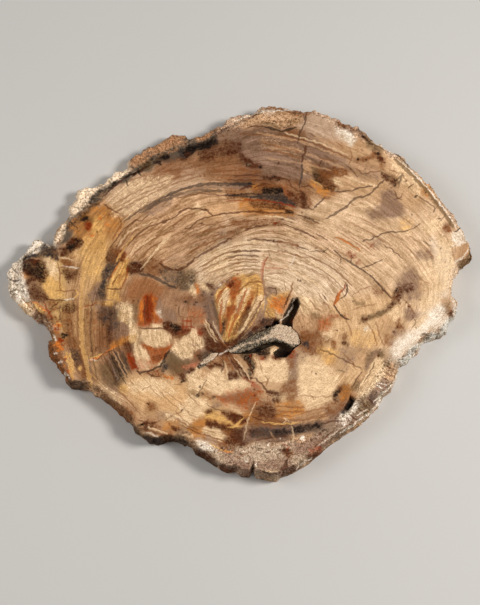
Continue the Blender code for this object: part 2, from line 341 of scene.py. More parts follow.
# The marks of the stone, by place. A patch has its stain, its strength, how soft its edge is and then its outline. A
# line has half its width instead, and then its points. A spot list has across, down and radius in turn after the
# strength. A crack has half its width, its depth and then its points.
# The lobe and the bark at the far left.
lobeMarks = dict(patches=[
    ('chalk', .95, 2, 55,246, 38,235, 27,241, 24,251, 18,254, 7,268, 7,292, 11,304, 22,302, 30,300, 27,290, 26,284,
        22,277, 20,272, 21,264, 25,257, 36,254, 41,250, 43,246),
    ('cream', .8, 2, 12,302, 28,300, 36,308, 30,316),
    ('umber', .65, 2, 32,309, 46,312, 60,320, 60,331, 48,330, 34,322),
    ('slate', .8, 1.2, 41,247, 44,244, 50,247, 56,248, 58,254, 57,261, 50,257, 42,257, 30,259, 22,262, 23,258,
        30,255, 39,253),
    ('walnut', .95, 1.4, 21,263, 25,259, 34,257, 42,257, 46,264, 48,274, 44,283, 40,284, 37,280, 31,282, 27,287,
        25,283, 30,277, 24,272),
    ('dark', .7, 1.6, 24,264, 30,262, 34,266, 41,262, 44,270, 43,278, 36,277, 31,273, 26,270),
    ('umber', .6, 1.4, 51,250, 56,249, 58,256, 57,261, 53,258),
    ('cream', .8, 2, 44,258, 50,259, 58,266, 60,280, 52,276, 47,270),
    ('gold', .7, 2, 46,276, 56,270, 62,280, 62,296, 50,298, 44,290),
    ('walnut', .6, 1.8, 28,289, 33,285, 38,286, 43,290, 49,298, 43,302, 36,302, 31,298),
    ('walnut', .6, 1.2, 30,290, 36,288, 42,293, 46,299, 38,299), ('ochre', .5, 1.4, 18,273, 26,274, 30,277, 25,279),
    ('walnut', .95, 1.2, 59,249, 66,246, 69,242, 73,237, 80,238, 84,243, 80,247, 76,248, 72,251, 64,251),
    ('dark', .8, 1, 66,248, 70,244, 76,244, 74,248, 70,250), ('dark', .6, 1, 75,240, 81,240, 82,243, 77,244),
    ('walnut', .8, 1.2, 60,252, 66,251, 69,254, 66,257, 61,256),
    ('umber', .85, 1.4, 60,259, 66,260, 72,262, 74,266, 66,268, 62,264),
    ('walnut', .75, 1.8, 61,271, 66,269, 72,270, 78,270, 78,275, 74,279, 70,279, 67,282, 65,276),
    ('walnut', .65, 1.8, 61,306, 64,303, 70,303, 77,307, 74,311, 66,313, 62,310),
    ('tan', .4, 2.5, 72,262, 82,262, 80,300, 70,300, 66,288), ('umber', .7, 2, 48,301, 60,301, 58,310, 50,312),
    ('umber', .6, 2, 60,312, 72,312, 74,345, 66,345, 62,325),
    ('umber', .6, 2, 60,334, 70,332, 80,348, 84,364, 76,364, 66,346),
    ('slate', .6, 1.5, 70,350, 78,350, 82,362, 76,366),
    ('umber', .7, 2, 48,344, 60,346, 68,368, 74,384, 60,378, 50,360),
    ('slate', .5, 1.5, 66,382, 84,380, 82,390, 68,390), ('mauve', .7, 1.5, 78,360, 90,360, 92,380, 82,376),
    ('umber', .7, 1.8, 74,362, 84,364, 92,378, 82,379),
], lines=[
    ('slate', .7, .9, 40,252, 38,255, 30,256), ('tan', .5, .7, 32,258, 40,259, 44,261),
    ('chalk', .5, .7, 62,266, 70,267, 80,268), ('umber', .7, .8, 58,268, 66,266), ('umber', .5, .7, 60,262, 75,257),
    ('cream', .5, .7, 59,257, 74,260), ('walnut', .8, .7, 40,296, 47,299, 58,300.5, 66,300),
    ('chalk', .8, .6, 65,299.5, 73,299), ('umber', .6, .6, 56,291, 68,291, 78,290),
    ('walnut', .7, .9, 50,309, 55,305, 58,302), ('rust', .6, .6, 80,309, 84,306, 92,305, 97,302),
    ('gold', .6, 1, 76,290, 79,294, 74,298), ('gold', .4, 2.6, 84,262, 82,290, 81,320, 82,345, 88,372, 92,388),
    ('tan', .4, 1.2, 84,290, 82,318), ('umber', .5, 1, 77,300, 78,340, 84,372),
    ('orange', .6, 1, 31,301, 38,304, 46,311), ('rust', .8, 1, 44,302, 46,308, 52,318),
    ('gold', .8, 2.4, 34,303, 44,313), ('gold', .7, 2, 66,352, 69,362, 73,380), ('gold', .7, 1.6, 70,354, 74,372),
    ('umber', .7, .7, 57,262, 60,272, 60,290), ('dark', .6, .7, 69,221, 74,225, 78,229),
], spots=[
    ('orange', .9, 57,325,3, 60,327,2, 57,331,2.4, 58,344,3, 62,348,2.6),
    ('rust', .95, 57,328,2, 61,340,2.8, 56,322,1.2, 63,345,1.4),
    ('dark', .8, 63,336,2.4, 66,335,2, 43,282,1.3, 68,282,1, 60,320,.8, 68,325,.8, 52,318,.8),
    ('gold', .8, 66,356,2, 80,368,2.5, 36,306,2, 40,309,2),
    ('chalk', .8, 54,337,1.4, 56,340,1, 68,375,1.3, 70,379,1.2),
    ('rust', .85, 68,372,1.8, 72,378,1.4, 66,360,1.3, 62,353,1.1, 70,366,1),
    ('orange', .9, 67,356,1.8, 70,371,2, 64,366,1.5, 58,351,1.4, 54,346,1.2),
    ('chalk', .8, 60,362,1.2, 65,374,1.4, 56,353,1, 62,380,1.1),
    ('walnut', .7, 52,350,1.2, 58,360,1.4, 64,370,1, 68,380,1.2), ('mauve', .8, 83,365,2, 62,366,1.6),
], cracks=[
    (.9, .9, 9,279, 14,281, 20,280), (.6, .8, 10,292, 15,290, 18,289), (.6, .6, 18,273, 12,268),
    (.5, .5, 45,247, 43,257), (.5, .5, 60,305, 60,320), (.5, .5, 92,300, 90,330, 92,352, 97,380),
])

# From the upper left rim to the rings above the pith.
upperLeftMarks = dict(patches=[
    ('ochre', .4, 3, 70,225, 84,216, 92,208, 104,206, 118,214, 122,224, 114,236, 96,240, 80,240),
    ('ochre', .5, 2.5, 90,212, 100,206, 112,210, 120,222, 118,232, 112,224, 104,214),
    ('gold', .55, 2, 92,219, 102,217, 102,232, 93,232), ('rust', .9, 1.2, 84,222, 89,221, 92,226, 90,231, 86,230),
    ('dark', .95, 1, 80,220, 84,217, 89,217, 90,220, 84,222),
    ('gold', .45, 3, 84,240, 104,236, 106,262, 98,280, 88,276, 84,258),
    ('ochre', .35, 3, 86,228, 100,226, 104,246, 92,250),
    ('slate', .8, 1.6, 104,268, 110,261, 116,266, 112,274, 107,280, 106,290, 105,298, 100,299, 97,292, 101,283,
        102,275),
    ('walnut', .75, 1.4, 108,252, 112,248, 118,249, 126,254, 124,260, 116,265, 110,264, 105,263),
    ('clay', .7, 1.5, 112,250, 122,250, 128,256, 122,262, 116,256),
    ('gold', .9, 1.5, 119,262, 127,258, 129,268, 126,276, 122,284, 119,290, 108,290, 106,287, 110,280, 115,272),
    ('ochre', .75, 1.5, 122,266, 128,262, 128,272, 120,284, 108,288, 114,280),
    ('gold', .7, 1.2, 107,291, 118,291, 119,301, 107,301),
    ('mauve', .75, 1.6, 88,294, 92,290, 98,282, 101,284, 99,300, 92,302),
    ('mauve', .5, 2, 146,206, 158,200, 170,198, 170,206, 156,213, 146,216),
    ('cream', .4, 3, 112,196, 130,184, 150,178, 170,178, 166,190, 150,198, 128,214, 114,214),
    ('umber', .3, 3, 160,160, 190,160, 214,164, 250,170, 262,180, 240,182, 205,176, 176,168),
    ('ochre', .55, 2, 240,200, 260,199, 280,203, 292,209, 292,216, 270,214, 246,215, 240,208),
    ('tan', .4, 2.5, 168,230, 186,226, 186,248, 172,252),
    ('tan', .45, 3, 122,226, 142,216, 150,222, 132,244, 118,250),
    ('mauve', .25, 3, 176,228, 214,226, 238,226, 240,240, 214,250, 196,258, 184,262, 170,262),
    ('mauve', .4, 2, 216,232, 238,228, 242,238, 224,242), ('slate', .45, 2.5, 160,268, 182,270, 182,288, 166,286),
    ('olive', .65, 2, 178,270, 196,272, 196,289, 180,289), ('slate', .45, 2, 180,274, 192,276, 190,288, 180,286),
    ('walnut', .9, 1.5, 126,266, 131,262, 140,262, 143,266, 143,273, 132,274, 127,272),
    ('umber', .6, 2, 144,263, 152,259, 162,262, 162,274, 152,276, 144,272),
    ('umber', .5, 2, 144,262, 158,260, 160,270, 148,274), ('tan', .3, 3, 205,268, 224,268, 226,280, 206,283),
    ('cream', .45, 3, 204,258, 214,252, 240,245, 240,274, 210,272),
    ('cream', .9, 1.2, 189,285, 193,283, 198,294, 194,297), ('orange', .9, 1, 194,284, 197,283, 200,293, 197,295),
    ('cream', .9, 1.2, 199,284, 204,283, 212,291, 208,294), ('walnut', .75, 1.2, 206,284, 212,283, 214,290, 211,291),
    ('cream', .35, 2, 195,206, 205,208, 204,214, 196,214),
], lines=[
    ('walnut', .75, .8, 103,197, 110,190, 118,183, 126,177, 140,171, 150,165),
    ('dark', .8, 1.3, 120,179, 130,175, 140,172), ('dark', .8, 1, 126,180, 128,186),
    ('dark', .9, 1.6, 137,171, 141,175), ('slate', .6, .9, 124,222, 132,216, 140,210, 150,204, 160,199, 170,194),
    ('slate', .8, 1.9, 166,196, 180,190, 190,187, 205,184, 222,184, 240,184, 252,184),
    ('slate', .55, 1.9, 140,213, 160,202, 180,194, 200,190, 222,191),
    ('mauve', .7, 1.8, 190,190, 206,187, 226,187, 246,188), ('slate', .8, 1, 224,195, 240,196, 262,197),
    ('walnut', .6, .7, 176,198, 200,193, 226,196), ('walnut', .7, .6, 104,204, 112,210, 120,214),
    ('umber', .6, .7, 118,216, 122,224, 112,240),
    ('walnut', .6, .7, 110,248, 118,237, 125,228, 135,220, 142,221, 148,215),
    ('umber', .5, .7, 110,215, 140,199, 170,185, 200,176), ('umber', .45, .6, 114,204, 140,190, 168,180, 196,173),
    ('umber', .4, .6, 112,210, 140,195, 170,183), ('umber', .4, .6, 130,180, 160,172, 190,168),
    ('walnut', .8, .7, 160,223, 175,217, 183,210, 190,208, 207,210, 213,216, 222,214, 240,212, 262,211),
    ('umber', .6, .6, 172,226, 186,216, 196,212), ('walnut', .75, .7, 185,229, 190,228, 197,221, 207,217, 213,216),
    ('walnut', .6, .6, 128,246, 136,236, 150,226, 166,222), ('umber', .55, .7, 120,252, 134,238, 150,232, 164,226),
    ('umber', .5, .6, 132,256, 144,244, 160,236, 176,230), ('umber', .5, .6, 138,262, 152,246, 168,238, 182,232),
    ('cream', .5, .8, 141,269, 146,263, 155,251, 162,243, 168,237), ('cream', .55, 1.6, 156,250, 164,241, 172,234),
    ('cream', .5, .8, 118,246, 128,232, 142,226, 156,220), ('cream', .5, .8, 126,258, 140,246, 156,236),
    ('gold', .6, 1, 116,262, 124,248, 134,236), ('umber', .6, .9, 112,262, 118,250, 128,236, 142,226),
    ('walnut', .85, 1.6, 160,264, 168,269, 180,270, 187,266, 195,258),
    ('walnut', .75, 1, 195,258, 210,250, 218,245, 232,238), ('umber', .7, .9, 188,254, 200,246, 216,240, 234,232),
    ('umber', .55, .7, 186,246, 200,240, 220,234), ('umber', .6, .7, 190,236, 206,231, 226,226, 242,224),
    ('umber', .5, .6, 182,232, 200,226, 226,221), ('slate', .8, 1.4, 140,274, 148,275, 156,278, 166,284, 176,288),
    ('slate', .5, .8, 130,263, 140,262), ('umber', .7, .6, 198,268, 205,265, 215,258, 225,253, 240,250),
    ('umber', .6, .6, 196,274, 210,266, 226,259, 242,255), ('umber', .5, .5, 204,276, 222,268, 240,262),
    ('umber', .5, .5, 206,261, 222,254, 238,247), ('umber', .45, .5, 212,280, 228,273, 244,268),
    ('walnut', .7, .7, 107,289, 114,289, 122,289), ('orange', .6, .7, 108,280, 114,272, 120,262),
    ('walnut', .5, .6, 112,284, 120,274), ('rust', .5, .7, 120,290, 126,278, 128,268),
], spots=[
    ('walnut', .8, 201,224,1, 183,232,1, 206,210,1.2, 127,208,1, 108,214,1, 124,216,1.3, 97,232,1, 90,244,.9,
        95,252,.8, 101,243,.8),
    ('slate', .7, 108,272,1.6, 104,282,1.8, 103,292,1.8), ('orange', .6, 100,218,2, 106,224,1.6, 92,236,1.6),
], cracks=[
    (.7, .8, 118,262, 112,272, 108,282), (.5, .6, 96,292, 98,300),
])

# The top, and the rings down to the crevice.
topMarks = dict(patches=[
    ('walnut', .6, 2.2, 204,148, 214,143, 228,141, 240,143, 241,150, 232,151, 222,154, 208,153),
    ('walnut', .7, 2, 198,151, 212,150, 214,160, 200,161),
    ('walnut', .8, 1.6, 216,153, 228,150, 238,150, 240,154, 228,155),
    ('walnut', .9, 1.2, 238,153, 243,155, 250,160, 258,164, 263,166, 258,169, 250,168, 246,163, 240,159),
    ('dark', .85, 1.2, 188,146, 206,142, 216,139, 220,143, 206,149, 196,151, 188,157, 184,155),
    ('walnut', .85, 1.2, 184,152, 192,152, 190,156, 184,160, 180,160),
    ('slate', .75, 1, 178,150, 182,149, 185,158, 182,159),
    ('dark', .9, 1, 161,157, 166,154, 170,155, 169,159, 164,161),
    ('dark', .9, 1, 154,163, 158,160, 161,161, 160,164, 155,165),
    ('olive', .8, 1, 142,164, 150,160, 152,168, 144,171, 140,170),
    ('umber', .4, 3, 165,168, 190,162, 230,160, 240,164, 260,172, 240,176, 205,170, 180,172),
    ('umber', .45, 2.5, 220,176, 262,176, 282,178, 292,182, 262,184, 236,182),
    ('umber', .5, 2.5, 206,158, 236,156, 240,162, 220,164),
    ('mauve', .7, 4, 240,138, 262,134, 300,136, 310,140, 345,158, 345,166, 315,160, 308,176, 290,178, 262,174,
        262,164, 244,152),
    ('mauve', .6, 2, 310,134, 330,146, 348,158, 335,164, 312,150),
    ('tan', .35, 2.5, 262,138, 280,143, 298,150, 298,158, 280,150, 262,144),
    ('mauve', .7, 2, 215,132, 232,127, 240,129, 236,139, 218,142),
    ('umber', .6, 2, 284,131, 304,131, 306,141, 286,140),
    ('chalk', .9, 2, 338,131, 346,130, 353,134, 355,140, 350,144, 343,138),
    ('tan', .6, 2.5, 312,136, 330,140, 348,146, 350,156, 330,148),
    ('umber', .65, 1.5, 262,108, 300,109, 312,110, 310,115, 298,115, 280,110),
    ('tan', .85, 1.6, 304,162, 310,162, 314,168, 312,174, 304,172),
    ('umber', .6, 1.6, 312,164, 322,168, 340,168, 350,170, 345,176, 325,178, 318,174),
    ('olive', .6, 1.6, 311,166, 318,168, 320,178, 315,178), ('mauve', .6, 2, 318,161, 350,164, 350,170, 322,169),
    ('umber', .7, 1.6, 320,172, 336,171, 344,174, 332,178, 322,178),
    ('dark', .55, 1.4, 315,173, 320,177, 326,181, 334,184, 336,190, 328,189, 320,184, 315,179),
    ('umber', .85, 1.5, 318,170, 330,178, 338,186, 337,192, 326,190, 316,180),
    ('cream', .8, 1.3, 333,180, 338,179, 344,183, 342,186, 336,184),
    ('tan', .6, 2, 340,180, 346,179, 347,186, 341,187),
    ('umber', .3, 2, 308,181, 314,182, 320,188, 328,188, 334,193, 328,198, 318,194, 310,188),
    ('ochre', .7, 1.6, 310,182, 316,185, 326,190, 332,194, 324,196, 316,190),
    ('umber', .5, 2, 286,180, 300,182, 310,190, 312,206, 298,206, 284,190),
    ('slate', 1, 1.4, 262,194, 284,194, 292,201, 298,207, 282,205, 262,200, 246,197),
    ('dark', 1, 1.1, 262,188, 282,187, 284,194, 262,194),
    ('umber', .9, 1.2, 252,186, 262,184, 280,184, 284,188, 264,189, 254,190),
    ('umber', .8, 1.3, 262,184, 270,183, 282,186, 280,188, 264,187),
    ('umber', .6, 1.6, 226,189, 246,189, 248,199, 228,199),
    ('slate', .75, 1.1, 230,184, 240,183, 252,183, 252,188, 240,187),
    ('umber', .8, 1.3, 252,190, 262,190, 262,194, 252,194), ('ochre', .45, 1.2, 252,184, 258,184, 256,188, 251,190),
    ('clay', .75, 1.7, 282,187, 286,189, 291,198, 288,200, 284,194),
    ('walnut', .7, 1.5, 286,190, 296,194, 300,202, 296,206, 290,200),
    ('walnut', .95, 1, 300,191, 304,192, 307,197, 306,203, 308,207, 302,207, 300,200),
    ('dark', .6, 1.2, 263,176, 280,177, 280,180, 264,179),
    ('ochre', .5, 2, 248,207, 262,208, 282,209, 293,211, 293,214, 270,213, 250,213),
    ('walnut', .65, 1.4, 250,201, 280,203, 286,209, 262,208, 250,206),
    ('dark', .85, 1, 285,209, 294,211, 293,214, 286,214),
    ('mauve', .7, 1.5, 272,214, 290,216, 298,219, 292,221, 276,219),
    ('umber', .5, 2, 270,220, 280,221, 284,225, 272,225),
    ('umber', .55, 1.4, 230,220, 268,220, 266,224, 246,228, 232,224),
    ('tan', .3, 3, 232,226, 242,226, 246,231, 240,240, 230,238), ('umber', .3, 2, 230,232, 238,230, 239,235, 230,238),
    ('tan', .3, 3, 264,256, 284,254, 286,266, 268,270), ('umber', .3, 2, 276,243, 296,245, 298,249, 280,249),
    ('olive', .45, 1.6, 305,215, 318,220, 316,224, 304,220),
], lines=[
    # partly pale crust, partly a painted highlight along the rim's outer edge
    ('chalk', .5, 1, 234,122, 250,115, 264,111, 292,110),
    ('dark', .85, 1.1, 262,126, 270,128, 280,131, 288,130, 296,127), ('walnut', .7, .8, 248,127, 255,126, 262,127),
    ('olive', .7, 1.4, 262,123, 272,124, 280,129), ('umber', .6, .8, 240,134, 262,135, 290,136),
    ('tan', .55, 1.2, 258,133, 300,141, 342,157), ('tan', .5, 1, 262,142, 300,151, 344,168),
    ('cream', .4, .8, 285,133, 320,143, 348,155), ('tan', .45, .9, 266,158, 300,163, 330,170),
    ('umber', .6, .8, 262,150, 280,152, 300,158), ('umber', .5, 1, 262,142, 280,147, 300,152),
    ('walnut', .6, .7, 309,134, 315,136), ('umber', .6, .8, 312,142, 330,150, 350,159),
    ('umber', .5, .7, 320,158, 340,162), ('umber', .6, .7, 336,142, 343,147),
    ('walnut', .8, 1.3, 305,145, 306,150, 303,156, 302,162), ('slate', .75, .9, 302,162, 302,172, 301,180, 299,187),
    ('walnut', .7, .8, 322,160, 319,166), ('walnut', .6, .7, 289,181, 291,186, 296,190, 302,192, 306,195),
    ('walnut', .7, .7, 300,187, 310,186, 313,188), ('walnut', .8, .8, 262,177, 272,178, 280,178, 290,180),
    ('walnut', .6, .7, 234,176, 250,175, 262,176), ('walnut', .5, .6, 228,180, 262,180),
    ('umber', .6, .8, 212,171, 240,170, 262,172), ('walnut', .85, .8, 240,190, 246,187, 252,186),
    ('dark', .7, .8, 248,184, 254,184), ('walnut', .75, .7, 254,188, 262,184, 270,184),
    ('dark', .8, .9, 232,195, 246,194, 262,194), ('rust', .7, .7, 226,201, 246,200, 262,200, 280,203, 296,207),
    ('walnut', .8, .8, 252,212, 270,213, 286,213), ('walnut', .7, .7, 262,207, 280,209, 292,211),
    ('walnut', .75, .8, 298,215, 306,217, 312,220, 318,223), ('walnut', .6, .7, 300,207, 308,208, 314,210),
    ('umber', .6, .7, 304,220, 312,223, 320,224), ('umber', .6, .6, 230,223, 240,222, 256,220, 266,220),
    ('walnut', .85, .8, 245,230, 252,228, 260,226, 268,225), ('umber', .6, .6, 230,226, 236,224),
    ('walnut', .8, .7, 284,224, 294,228, 301,231, 310,235, 317,239), ('walnut', .75, .7, 316,234, 322,237, 327,240),
    ('umber', .6, .6, 262,231, 272,231, 286,236), ('walnut', .85, .8, 248,240, 256,239, 265,240, 273,241, 284,242),
    ('umber', .7, 1, 278,242, 290,243, 298,246), ('walnut', .8, .9, 297,246, 303,248, 308,250),
    ('walnut', .6, .6, 310,251, 320,251, 326,253), ('walnut', .8, .9, 230,253, 240,251, 250,251, 260,251),
    ('walnut', .65, .9, 228,257, 240,255, 258,256), ('umber', .65, .7, 228,261, 242,259, 258,260),
    ('umber', .65, .7, 228,264, 242,262, 260,262), ('umber', .6, .7, 230,268, 244,266, 260,266),
    ('umber', .55, .6, 234,271, 248,269, 262,270), ('umber', .5, .6, 230,247, 246,245, 262,245),
    ('umber', .45, .6, 262,236, 280,238, 300,243), ('umber', .5, .6, 264,251, 284,252, 300,256),
    ('umber', .5, .6, 290,253, 300,257, 310,258), ('umber', .5, .6, 300,252, 318,260, 336,271, 350,284),
    ('umber', .5, .6, 300,260, 318,268, 334,279, 346,292), ('umber', .5, .6, 308,256, 326,264, 342,275, 352,286),
    ('umber', .45, .6, 310,268, 326,277, 338,288), ('umber', .5, .6, 288,262, 304,266, 318,274),
    ('umber', .4, .6, 280,268, 298,272, 312,280), ('cream', .6, .9, 290,270, 306,277, 322,288),
    ('cream', .5, .8, 310,262, 328,271, 344,284), ('cream', .5, .8, 320,246, 336,258),
    ('cream', .45, .8, 232,243, 250,242, 262,242), ('cream', .4, .7, 284,232, 300,236, 316,244),
    ('cream', .6, .8, 262,216, 280,217, 296,222), ('chalk', .5, .6, 295,255, 293,260, 290,266),
    ('umber', .7, .8, 335,237, 341,239, 350,243, 360,250), ('orange', .55, 1, 335,237, 345,241, 360,250),
    ('umber', .4, .6, 340,226, 360,238, 380,250), ('umber', .4, .6, 336,230, 356,243, 374,256),
    ('umber', .4, .6, 350,222, 372,234, 392,246), ('umber', .35, .6, 360,218, 380,228, 402,240),
    ('umber', .35, .6, 345,232, 368,248), ('rust', .7, .7, 268,256, 265,262, 263,268, 263,275, 262,282),
    ('pink', .6, 1.6, 264,260, 262,270, 262,280), ('pink', .5, .8, 264,268, 274,268, 282,269),
    ('umber', .5, .7, 266,274, 282,273), ('walnut', .6, .6, 246,276, 256,274), ('olive', .5, 1, 268,251, 270,256),
    ('gold', .5, 1, 312,180, 322,186), ('cream', .55, 1, 345,176, 360,182, 378,186),
], spots=[
    ('walnut', .85, 269,241,1.3, 273,241,1.3, 301,233,1.3, 316,248,.8, 278,163,1.3, 302,213,.8, 298,280,.9,
        301,281,.9, 304,282,.8, 309,284,.7),
    ('dark', .8, 260,166,1.4, 248,165,1.6, 324,169,1.2, 251,252,.9), ('cream', .6, 249,164,1, 336,190,1, 337,182,2),
    ('rust', .6, 284,231,.9, 270,223,1.2, 275,223,1.2, 349,254,3, 353,256,3.2, 359,262,2.6),
    ('walnut', .8, 341,259,1, 340,262,.8, 352,256,.8, 297,168,.8, 302,166,.8, 276,168,.9, 316,126,1, 345,127,.9),
], cracks=[
    (.8, .85, 307,112, 305,117, 306,121, 303,127, 300,132, 299,137), (.6, .8, 299,137, 297,143),
    (.7, .85, 336,192, 345,191, 352,191, 358,188, 372,186), (.7, .85, 314,208, 319,203, 325,197),
    (1.1, .8, 326,218, 333,215, 340,210, 345,208, 350,203, 355,198, 362,197, 370,194, 378,186, 385,179),
    (.9, .9, 334,250, 340,256, 348,261, 356,266, 364,271, 372,277, 380,286, 391,298),
    (.6, .8, 361,268, 368,266, 375,263, 382,260), (.7, .8, 360,271, 354,274, 348,280, 346,286),
    (.6, .6, 353,256, 350,262), (.5, .7, 328,248, 322,253), (.5, .5, 283,252, 286,250),
])

# The upper right, with its thin pale rim.
topRightMarks = dict(patches=[
    ('mauve', .8, 2, 381,194, 386,190, 391,190, 395,194, 398,200, 402,206, 403,215, 396,217, 380,218, 371,219,
        367,211, 378,210, 382,202),
    ('mauve', .5, 2.5, 390,204, 400,206, 402,214, 392,214),
    ('tan', .5, 2.5, 352,160, 370,156, 384,160, 378,170, 358,172),
    ('mauve', .5, 2, 354,162, 376,166, 378,178, 362,180, 352,172),
    ('umber', .75, 1.3, 353,159, 362,158, 370,156, 374,152, 380,154, 383,160, 376,158, 366,161, 356,162),
    ('walnut', .8, 1.2, 374,152, 380,153, 384,160, 380,161), ('umber', .6, 1.5, 382,160, 384,170, 380,168),
    ('walnut', .8, 1.3, 381,172, 388,175, 394,176, 398,182, 396,187, 392,184, 386,180, 382,178),
    ('tan', .6, 2.5, 354,130, 362,140, 366,150, 358,152, 356,140),
    ('umber', .7, 1.3, 348,126, 355,131, 354,134, 347,131), ('walnut', .8, 1.2, 358,129, 364,136, 368,140, 362,138),
    ('umber', .7, 1.4, 340,122, 348,127, 344,129, 337,124),
    ('cream', .5, 2, 392,160, 408,172, 422,186, 418,196, 400,180),
    ('olive', .6, 2, 366,136, 376,142, 382,150, 374,150, 366,144),
    ('ochre', .45, 2, 420,183, 426,184, 431,192, 428,197, 421,192),
    ('cream', .9, 1.5, 425,227, 432,221, 442,221, 440,230, 426,232),
    ('umber', .8, 1.2, 443,229, 446,222, 450,224, 451,230, 447,233),
    ('chalk', .6, 1.2, 452,235, 456,231, 462,229, 467,235, 467,241, 460,245, 453,241),
    ('tan', .75, 1.8, 451,252, 457,247, 462,244, 468,243, 469,251, 465,258, 457,262, 454,256),
    ('olive', .6, 1.6, 458,262, 470,256, 470,268, 460,270), ('gold', .35, 3, 402,222, 409,221, 410,228, 403,230),
    ('cream', .6, 3, 440,238, 452,244, 452,264, 448,290, 434,292, 436,268),
    ('mauve', .5, 2, 416,253, 432,250, 432,260, 420,262), ('mauve', .5, 2, 373,240, 381,240, 380,247, 374,247),
    ('mauve', .7, 2.5, 408,270, 413,269, 418,277, 420,288, 412,292, 401,289, 397,282, 403,275),
    ('walnut', .5, 1.5, 402,284, 412,284, 414,291, 403,291),
    ('walnut', .7, 1.6, 393,291, 397,287, 403,288, 403,298, 398,302, 393,298),
    ('mauve', .6, 2.5, 404,286, 418,285, 420,297, 408,299), ('tan', .5, 2, 419,283, 429,282, 428,289, 420,290),
    ('cream', .4, 3, 420,262, 440,262, 440,290, 424,290),
], lines=[
    ('olive', .8, 1.9, 394,159, 404,167.5, 414,177, 424,188, 432,197, 440,207.5, 448,218.5, 453,227),
    # partly pale crust, partly a painted highlight along the rim's outer edge
    ('chalk', .75, .5, 372,142, 382,146, 392,153, 402,162.5, 413,173, 427.5,188, 437.5,200.5, 447.5,213.5,
        456.5,228),
    ('dark', .7, .8, 392,150, 402,159, 410,167), ('walnut', .7, .7, 404,182, 407,180),
    ('walnut', .8, .8, 408,188, 413,184), ('dark', .85, 1.3, 415,197, 418,195),
    ('walnut', .6, .6, 419,197, 426,201, 435,208), ('walnut', .6, .6, 396,199, 401,197, 402,194),
    ('walnut', .6, .6, 394,190, 397,197, 401,200), ('walnut', .8, .8, 433,212, 436,208),
    ('walnut', .8, .9, 438,219, 441,218), ('walnut', .7, .6, 383,245, 390,248, 397,254, 402,258),
    ('umber', .5, .6, 418,275, 424,282, 428,283), ('umber', .45, .6, 410,236, 424,246, 434,258),
    ('umber', .45, .5, 398,240, 412,252, 420,264), ('dark', .9, .8, 455,232, 461,228),
    ('dark', .8, .8, 470,244, 471,262), ('chalk', .7, .7, 452,246, 460,243, 467,242),
    ('chalk', .6, .7, 455,262, 463,257, 468,250), ('umber', .5, .6, 452,246, 453,256, 456,262),
    ('rust', .5, .6, 367,243, 374,249), ('rust', .5, .6, 374,243, 368,249), ('umber', .5, .6, 360,206, 352,205),
    ('umber', .5, .6, 390,170, 402,174, 406,180), ('dark', .6, .6, 394,182, 402,175, 398,188),
    ('walnut', .6, .7, 346,165, 352,170, 358,177), ('walnut', .5, .6, 356,168, 362,174, 380,171),
    ('umber', .5, .6, 350,148, 352,158, 348,165), ('cream', .5, .9, 352,206, 372,206),
], spots=[
    ('dark', .85, 357,130,1, 363,136,1.2, 378,153,1.2, 358,159,1.2, 366,160,1, 382,173,1.2, 388,177,1, 395,185,1.3,
        399,300,1, 397,290,1.4),
    ('walnut', .7, 365,170,1, 372,166,.8, 384,163,1, 362,150,1, 352,128,1.2, 350,131,1, 425,192,1, 431,199,1,
        446,226,1.3, 444,236,.8),
    ('walnut', .6, 386,215,.8, 366,212,.8, 374,236,.7, 412,215,.7, 430,240,.7, 441,248,.7, 445,262,.8,
        400,262,.7),
], cracks=[
    (.7, .8, 362,241, 372,239, 382,234, 388,232, 398,232, 411,230), (.5, .6, 422,240, 431,246),
    (.5, .6, 411,230, 420,224), (.6, .7, 357,392, 360,384), (.5, .5, 440,221, 446,214),
])

